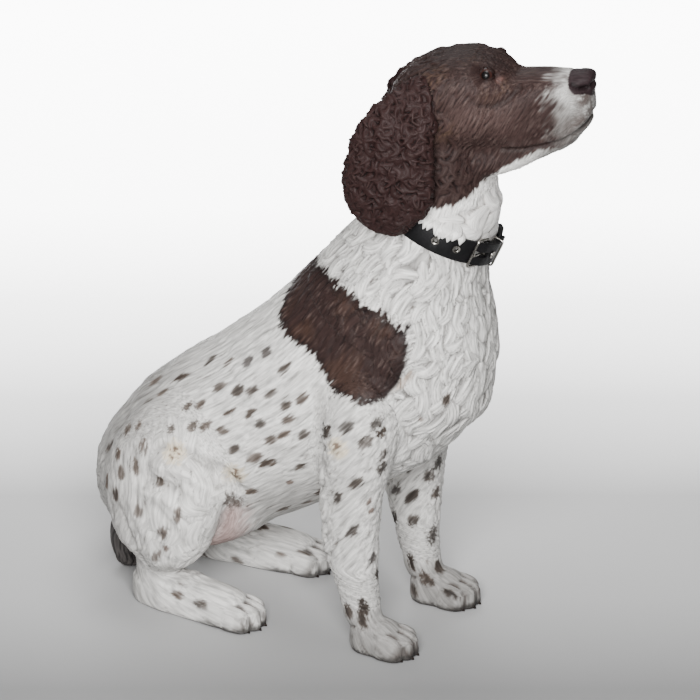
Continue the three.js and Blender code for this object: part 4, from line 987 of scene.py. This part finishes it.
# The fringe: tufts of the throat's white hair that hang over the collar's upper edge. They are cast in
# resin with the head and painted with it.
TUFT_RADIUS = 61.7
TUFT_MIDDLE = 15.5
TUFT_THICK = 1.4
TUFT_ROOT_IN = 8
FRINGE_TURNS = [turn for turn in range(-168, 169, 4) if not -46 < turn < 58]
fringe = bmesh.new()
chance = np.random.default_rng(61)
fringe_paint, fringe_flow = [], []
for turn in FRINGE_TURNS:
    half_long, half_wide = 6 + 4 * chance.random(), 4 + 2.5 * chance.random()
    lean, drop = 0.5 * chance.normal(), 3 * chance.random()
    tuft = bmesh.ops.create_uvsphere(fringe, u_segments=10, v_segments=12, radius=1)["verts"]
    for vert in tuft:
        thick, aside, root = vert.co
        wide = half_wide * (0.4 + 0.6 * float(ramp(root, -1.0, 0.2)))
        along = wide * aside + 4 * lean * (1 - root)
        radius = TUFT_RADIUS + TUFT_THICK * thick - TUFT_ROOT_IN * float(ramp(root, -0.1, 1.0))
        angle = math.radians(turn) + along / radius
        vert.co = neck_plug @ Vector((radius * math.cos(angle), radius * math.sin(angle),
                                      TUFT_MIDDLE - drop + half_long * root))
        # Each tuft greyer towards its sides: painted shade.
        fringe_paint.append(lay(WHITE_PAINT, SHADE_GREY, np.array([0.45 * abs(aside) ** 3]))[0])
        fringe_flow.append((along + turn, 3 * turn, -half_long * root))
fringe_mesh = modelled(fringe, "throat_fringe")
paint_on(fringe_mesh, np.array(fringe_paint), fringe_flow)
as_piece("throat_fringe", fringe_mesh, coat_finish)

# The ears: two resin castings doweled and bonded to the skull, covered all over in tight curls and
# painted the liver of the head.
EAR_VOXEL = 1.0
EAR_FLOW = [(-14, 28, 44), (-24, 40, 22), (-34, 54, -4), (-48, 66, -34), (-60, 69, -84), (-64, 68, -118),
            (-62, 66, -150)]
EAR_TUCKED = 1.5
CURL_HIGH, CURL_LEVEL = 5.0, 0.45
EAR_PAINT = tint(42, 27, 26)
curled_finish = painted_hair("painted_curls", strands_per_mm=0.75, cut_depth=0.4, dull=0.62, shine=0.48,
                             gloss=0.12)
for hand, name in ((-1, "ear_right"), (1, "ear_left")):
    rough_ear = bmesh.new()
    add_copy(rough_ear, name, grow=0)
    ear = Skin(rough_ear, EAR_VOXEL)
    ear.ease(rounds=int(60 / EAR_VOXEL ** 2), restore=int(120 / EAR_VOXEL ** 2))
    on_skull = ramp(in_head(ear.at)[:, 2], -40, 2)
    ear.at = ear.at - ear.normals() * (EAR_TUCKED * on_skull)[:, None]
    ear_way = flow_along(EAR_FLOW, in_head(ear.at) * (1, hand, 1), reach=22)[1]
    ear_way = (ear_way * (1, hand, 1)) @ HEAD_TURNED.T
    roots = scattered(ear.at, np.ones(len(ear.at)), apart=4.6, tries=9000, seed=45)
    ear_locks, ear_hair = locks(ear, ear_way, roots, long=17, wide=4.2, curl=1.7, scatter=1.1, seed=47,
                                blunt=0.8)
    curled = CURL_HIGH * (ear_locks - CURL_LEVEL) + 2.2 * grain(ear.at / 13)
    ear.at = ear.at + ear.normals() * curled[:, None]
    ear_crease = ear.spread(ear_locks, rounds=4) - ear_locks
    # Painted shade in the gaps between the curls, and painted highlights on their crests.
    curls = lay(EAR_PAINT, LIVER_DARK_AND_SHADE * 0.4, 0.95 * ramp(ear_crease, 0.0, 0.2))
    lit = ear_locks + 0.3 * grain(ear_hair / np.array([1.6, 1.6, 14]))
    curls = lay(curls, LIVER_HIGHLIGHT, 0.2 * ramp(lit, 0.75, 1.0))
    finished(ear, "curled_" + name, ear.quads, curls, ear_hair, curled_finish, name)

# The tail: a short docked resin casting, held to the rump by a dowel and glue. Its combed hair is
# painted near black.
TAIL_FLOW = [(-296, 0, 84), (-313, 0, 62), (-326, 0, 40), (-324, 0, 18), (-316, 0, -6)]
TAIL_VOXEL = 1.2
TAIL_HAIR_HIGH, TAIL_HAIR_LEVEL = 1.3, 0.4
TAIL_GREY = tint(92, 88, 86)
TAIL_BLACK = tint(44, 41, 40)
rough_tail = bmesh.new()
add_copy(rough_tail, "tail", grow=0)
tail = Skin(rough_tail, TAIL_VOXEL)
tail.ease(rounds=40, restore=90)
tail_flow = flow_along(TAIL_FLOW, tail.at, reach=14)[0]
tail_relief = brushed_hair(tail_flow, dict(lock=5, long=30, wave=1.2, sway=40, seed=2.6),
                           dict(lock=3.2, long=18, seed=6.1))
tail.at = tail.at + tail.normals() * (TAIL_HAIR_HIGH * (tail_relief - TAIL_HAIR_LEVEL))[:, None]
# The hair's partings are near black as painted shade, its crests grey.
tail_paint = lay(TAIL_GREY, TAIL_BLACK, 1 - ramp(tail_relief, 0.1, 0.5))
tail_finish = painted_hair("painted_tail", strands_per_mm=0.7, cut_depth=0.4, dull=0.6, shine=0.5)
finished(tail, "painted_tail", tail.quads, tail_paint, tail_flow, tail_finish, "tail")

# The eyes: two blown glass balls, dark red brown round a black pupil, with a slight bulge over it.
# They are bonded into the sockets behind the lids.
def add_ramp(tree, along, stops):
    """A colour ramp along a node's output; stops are rising positions with colours. Gives its colour."""
    made = tree.nodes.new("ShaderNodeValToRGB")
    elements = made.color_ramp.elements
    elements.remove(elements[1])
    for number, (position, colour) in enumerate(stops):
        stop = elements.new(position) if number else elements[0]
        stop.position = position
        stop.color = (*colour, 1)
    tree.links.new(along, made.inputs["Fac"])
    return made.outputs["Color"]


IRIS, PUPIL = 0.70, 0.92
EYE_RINGS = ((IRIS - 0.08, tint(24, 15, 14)), (IRIS, tint(50, 29, 25)), (PUPIL - 0.05, tint(40, 23, 20)),
             (PUPIL, tint(10, 7, 7)))
CORNEA = 0.06
for hand, name in ((-1, "eye_right"), (1, "eye_left")):
    centre = from_head(EYE_AT * (1, hand, 1))
    gaze = (GAZE * (1, hand, 1)) @ HEAD_TURNED.T
    ball = bmesh.new()
    bmesh.ops.create_uvsphere(ball, u_segments=48, v_segments=32, radius=EYE_RADIUS)
    for vert in ball.verts:
        vert.co *= 1 + CORNEA * float(ramp(vert.normal.dot(gaze), 0.7, 1.0))
    bmesh.ops.translate(ball, verts=ball.verts, vec=centre)
    glass_mesh = modelled(ball, "glass_" + name)
    glass, tree, surface = new_finish("glass_" + name)
    place = add_node(tree, "TexCoord")
    middle = add_node(tree, "VectorMath", {0: place["Object"], 1: (centre + PAW_LINE) * MM},
                      operation="SUBTRACT")
    outward = add_node(tree, "VectorMath", {0: middle[0]}, operation="NORMALIZE")
    toward = add_node(tree, "VectorMath", {0: outward[0], 1: gaze}, operation="DOT_PRODUCT")
    fibres = add_node(tree, "TexNoise", {"Vector": outward[0], "Scale": 14, "Detail": 3})
    frayed = add_node(tree, "Math", {0: fibres["Fac"], 1: 0.07, 2: toward["Value"]}, operation="MULTIPLY_ADD")
    set_inputs(tree, surface, {"Base Color": add_ramp(tree, frayed[0], EYE_RINGS), "Roughness": 0.35,
                               "Specular IOR Level": 0.15, "Coat Weight": 0.12, "Coat Roughness": 0.06})
    as_piece("glass_" + name, glass_mesh, glass, replaced=name)

# The collar: a black leather strap, dyed and edge finished, buckled under the throat. Its free end
# runs through the buckle and under a sliding wire keeper.
def dressed(name, finish, body, bevel=0):
    """A clean copy of a rigid piece in its place: merged, its edges broken and its curves smooth."""
    made = bmesh.new()
    made.from_mesh(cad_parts[name].data)
    bmesh.ops.remove_doubles(made, verts=made.verts, dist=1e-6)
    bmesh.ops.dissolve_limit(made, angle_limit=math.radians(0.5), verts=made.verts, edges=made.edges)
    if bevel:
        sharp = [edge for edge in made.edges if edge.calc_face_angle(0) > math.radians(50)]
        bmesh.ops.bevel(made, geom=sharp, offset=bevel * MM, offset_type="OFFSET", affect="EDGES", segments=2,
                        profile=0.5, material=-1, clamp_overlap=True)
    bmesh.ops.triangulate(made, faces=made.faces)
    for side in made.faces:
        side.smooth = True
    mesh = bpy.data.meshes.new("dressed_" + name)
    made.to_mesh(mesh)
    made.free()
    mesh.set_sharp_from_angle(angle=math.radians(42))
    as_piece("dressed_" + name, mesh, finish, body, name)


def mottled():
    """Uneven handling marks: a broad mask and a fine grain, from a piece's own place."""
    group, entry, leave = new_group("mottled", {"Broad": "Float", "Fine": "Float"},
                                    {"Marks": "Float", "Grain": "Float"})
    place = add_node(group, "TexCoord")["Object"]
    broad = add_node(group, "TexNoise", {"Vector": place, "Scale": entry["Broad"], "Detail": 4})
    fine = add_node(group, "TexNoise", {"Vector": place, "Scale": entry["Fine"], "Detail": 5,
                                        "Roughness": 0.6})
    set_inputs(group, leave, {"Marks": broad["Fac"], "Grain": fine["Fac"]})
    return group


MOTTLED = mottled()


def handled(name, dark, light, broad, fine, dull, shine, depth, metal=0.0):
    """A handled surface: two tones by uneven marks, with a fine grain in its relief and gloss."""
    finish, tree, surface = new_finish(name)
    marks = add_node(tree, "Group", {"Broad": broad, "Fine": fine}, node_tree=MOTTLED)
    gloss = add_node(tree, "MapRange", {"Value": marks["Grain"], "From Min": 0.3, "From Max": 0.7,
                                        "To Min": shine, "To Max": dull})
    bump = add_node(tree, "Bump", {"Height": marks["Grain"], "Distance": depth * MM, "Strength": 0.6})
    set_inputs(tree, surface, {"Base Color": add_ramp(tree, marks["Marks"], ((0.35, dark), (0.68, light))),
                               "Roughness": gloss["Result"], "Normal": bump["Normal"], "Metallic": metal,
                               "Specular IOR Level": 0.5 if metal else 0.22})
    return finish


leather = handled("black_leather", tint(6, 6, 7), tint(13, 12, 14), broad=70, fine=900,
                  dull=0.6, shine=0.42, depth=0.5)
dressed("collar_strap", leather, "figure", bevel=0.5)

# The collar's hardware: bent and pressed metal, nickel plated, and worn a shade darker in places. The
# prong turns on the buckle's heel bar, and the wire keeper slides on the strap.
nickel = handled("bright_nickel", tint(118, 115, 110), tint(176, 172, 166), broad=160, fine=1400,
                 dull=0.34, shine=0.16, depth=0.05, metal=1.0)
for eyelet in ("eyelet_1", "eyelet_2", "eyelet_3", "eyelet_4"):
    dressed(eyelet, nickel, "figure")
dressed("buckle_frame", nickel, "figure")
dressed("buckle_prong", nickel, "prong")
dressed("keeper_loop", nickel, "keeper")

# The paws' soles: black rubber pads, moulded flat with broken edges and bonded under the four feet, so
# that the figure doesn't slip.
rubber = handled("black_rubber", tint(24, 24, 24), tint(40, 39, 38), broad=60, fine=600,
                 dull=0.85, shine=0.7, depth=0.3)
for pad in PADS:
    dressed(pad, rubber, "figure", bevel=0.4)

# What holds the castings together, unseen inside: steel bars in the legs, wooden dowels in the ears
# and tail, a card sleeve in the neck and a glass fibre tape behind the body's seam.
steel = handled("plain_steel", tint(112, 112, 114), tint(160, 160, 162), broad=40, fine=1200,
                dull=0.45, shine=0.28, depth=0.1, metal=1.0)
wood = handled("turned_wood", tint(160, 122, 80), tint(196, 160, 114), broad=90, fine=500,
               dull=0.7, shine=0.55, depth=0.25)
card = handled("wound_card", tint(134, 110, 82), tint(164, 140, 108), broad=50, fine=700,
               dull=0.95, shine=0.8, depth=0.3)
glass_fibre = handled("fibre_tape", tint(206, 204, 194), tint(228, 226, 216), broad=120, fine=800,
                      dull=0.6, shine=0.4, depth=0.4)
INSIDE = {"foreleg_bar_right": steel, "foreleg_bar_left": steel, "hind_bar_right": steel,
          "hind_bar_left": steel, "ear_dowel_right": wood, "ear_dowel_left": wood, "tail_dowel": wood,
          "neck_sleeve": card, "seam_tape": glass_fibre}
for name, finish in INSIDE.items():
    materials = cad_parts[name].data.materials
    materials.clear()
    materials.append(finish)

# The stage: a wide sheet of pale paper, painted darker towards the camera as painted shade and glowing
# in a pool of painted light behind the dog, soft lights in front, above and behind, and a camera far
# off. The photo's width is seen whole a little in front of the aim.
CAMERA_AWAY = 24.0
CAMERA_TURN = math.radians(27)
CAMERA_RISE = math.radians(24)
PHOTO_WIDTH = 0.700
SENSOR = 36
WIDTH_AHEAD = 0.12
AIM = Vector(((np.array([-109.1, 70.9, 253]) + PAW_LINE) * MM).tolist())
back = Vector((math.sin(CAMERA_TURN) * math.cos(CAMERA_RISE), -math.cos(CAMERA_TURN) * math.cos(CAMERA_RISE),
               math.sin(CAMERA_RISE)))
lens = bpy.data.cameras.new("camera")
lens.sensor_width = SENSOR
lens.lens = SENSOR * (CAMERA_AWAY - WIDTH_AHEAD) / PHOTO_WIDTH
lens.clip_end = 100
camera = bpy.data.objects.new("camera", lens)
camera.location = AIM + back * CAMERA_AWAY
camera.rotation_mode = "QUATERNION"
camera.rotation_quaternion = (-back).to_track_quat("-Z", "Y")
bpy.context.scene.collection.objects.link(camera)
bpy.context.scene.camera = camera

FLOOR_HALF = 6
floor_plan = bmesh.new()
bmesh.ops.create_grid(floor_plan, x_segments=8, y_segments=8, size=FLOOR_HALF)
floor_mesh = bpy.data.meshes.new("floor")
floor_plan.to_mesh(floor_mesh)
floor_plan.free()
floor = bpy.data.objects.new("floor", floor_mesh)
bpy.context.scene.collection.objects.link(floor)
PAPER_NEAR, PAPER_FAR = -0.4, 1.6
PAPER_SHADE_AND_GLOW = ((-0.19, 0.19, 0.0), (0.03, 0.43, 0.0), (0.28, 0.57, 0.005), (0.52, 0.80, 0.11),
               (0.77, 0.93, 0.36), (1.01, 0.94, 0.78), (1.5, 0.94, 1.0))
POOL_GLOW = 10.0
POOL_HALF, POOL_FADE = 0.42, 1.1
beside = Vector((math.cos(CAMERA_TURN), math.sin(CAMERA_TURN), 0))
before = Vector((math.sin(CAMERA_TURN), -math.cos(CAMERA_TURN), 0))
# The paper's colour is painted shade, darker towards the camera; its glow is painted light, in a pool behind
# the dog.
paper, tree, surface = new_finish("paper_painted_light")
place = add_node(tree, "TexCoord")["Object"]
behind = add_node(tree, "VectorMath", {0: place, 1: -before}, operation="DOT_PRODUCT")
stretch = add_node(tree, "MapRange", {"Value": behind["Value"], "From Min": PAPER_NEAR,
                                      "From Max": PAPER_FAR})
tone, glow = (add_ramp(tree, stretch["Result"], [((stop[0] - PAPER_NEAR) / (PAPER_FAR - PAPER_NEAR),
                                                  (stop[column],) * 3) for stop in PAPER_SHADE_AND_GLOW])
              for column in (1, 2))
aside = add_node(tree, "VectorMath", {0: place, 1: beside}, operation="DOT_PRODUCT")
off_middle = add_node(tree, "Math", {0: aside["Value"]}, operation="ABSOLUTE")
pool = add_node(tree, "MapRange", {"Value": off_middle[0], "From Min": POOL_HALF, "From Max": POOL_FADE,
                                   "To Min": POOL_GLOW, "To Max": 0.0}, interpolation_type="SMOOTHSTEP")
shine = add_node(tree, "Math", {0: pool["Result"], 1: glow}, operation="MULTIPLY")
set_inputs(tree, surface, {"Base Color": tone, "Emission Strength": shine[0], "Emission Color": (1, 1, 1, 1),
                           "Roughness": 0.6})
floor_mesh.materials.append(paper)


def soft_light(name, at, aim, size, watts):
    lamp = bpy.data.lights.new(name, "AREA")
    lamp.shape = "DISK"
    lamp.size = size
    lamp.energy = watts
    made = bpy.data.objects.new(name, lamp)
    made.location = at
    made.rotation_mode = "QUATERNION"
    made.rotation_quaternion = (aim - at).to_track_quat("-Z", "Y")
    bpy.context.scene.collection.objects.link(made)


UPWARD = Vector((0, 0, 1))
soft_light("window", beside * -0.1 + before * 1.75 + UPWARD * 1.2, UPWARD * 0.35, size=0.9, watts=84)
soft_light("overhead", beside * 0.2 + before * 0.1 + UPWARD * 2.2, UPWARD * 0.3, size=1.0, watts=24)
soft_light("behind", beside * -0.4 - before * 2.4 + UPWARD * 2.4, -before, size=2.0, watts=40)
world = bpy.data.worlds.new("studio")
bpy.context.scene.world = world
world.use_nodes = True
set_inputs(world.node_tree, world.node_tree.nodes["Background"], {"Color": (1, 1, 1, 1), "Strength": 0.18})
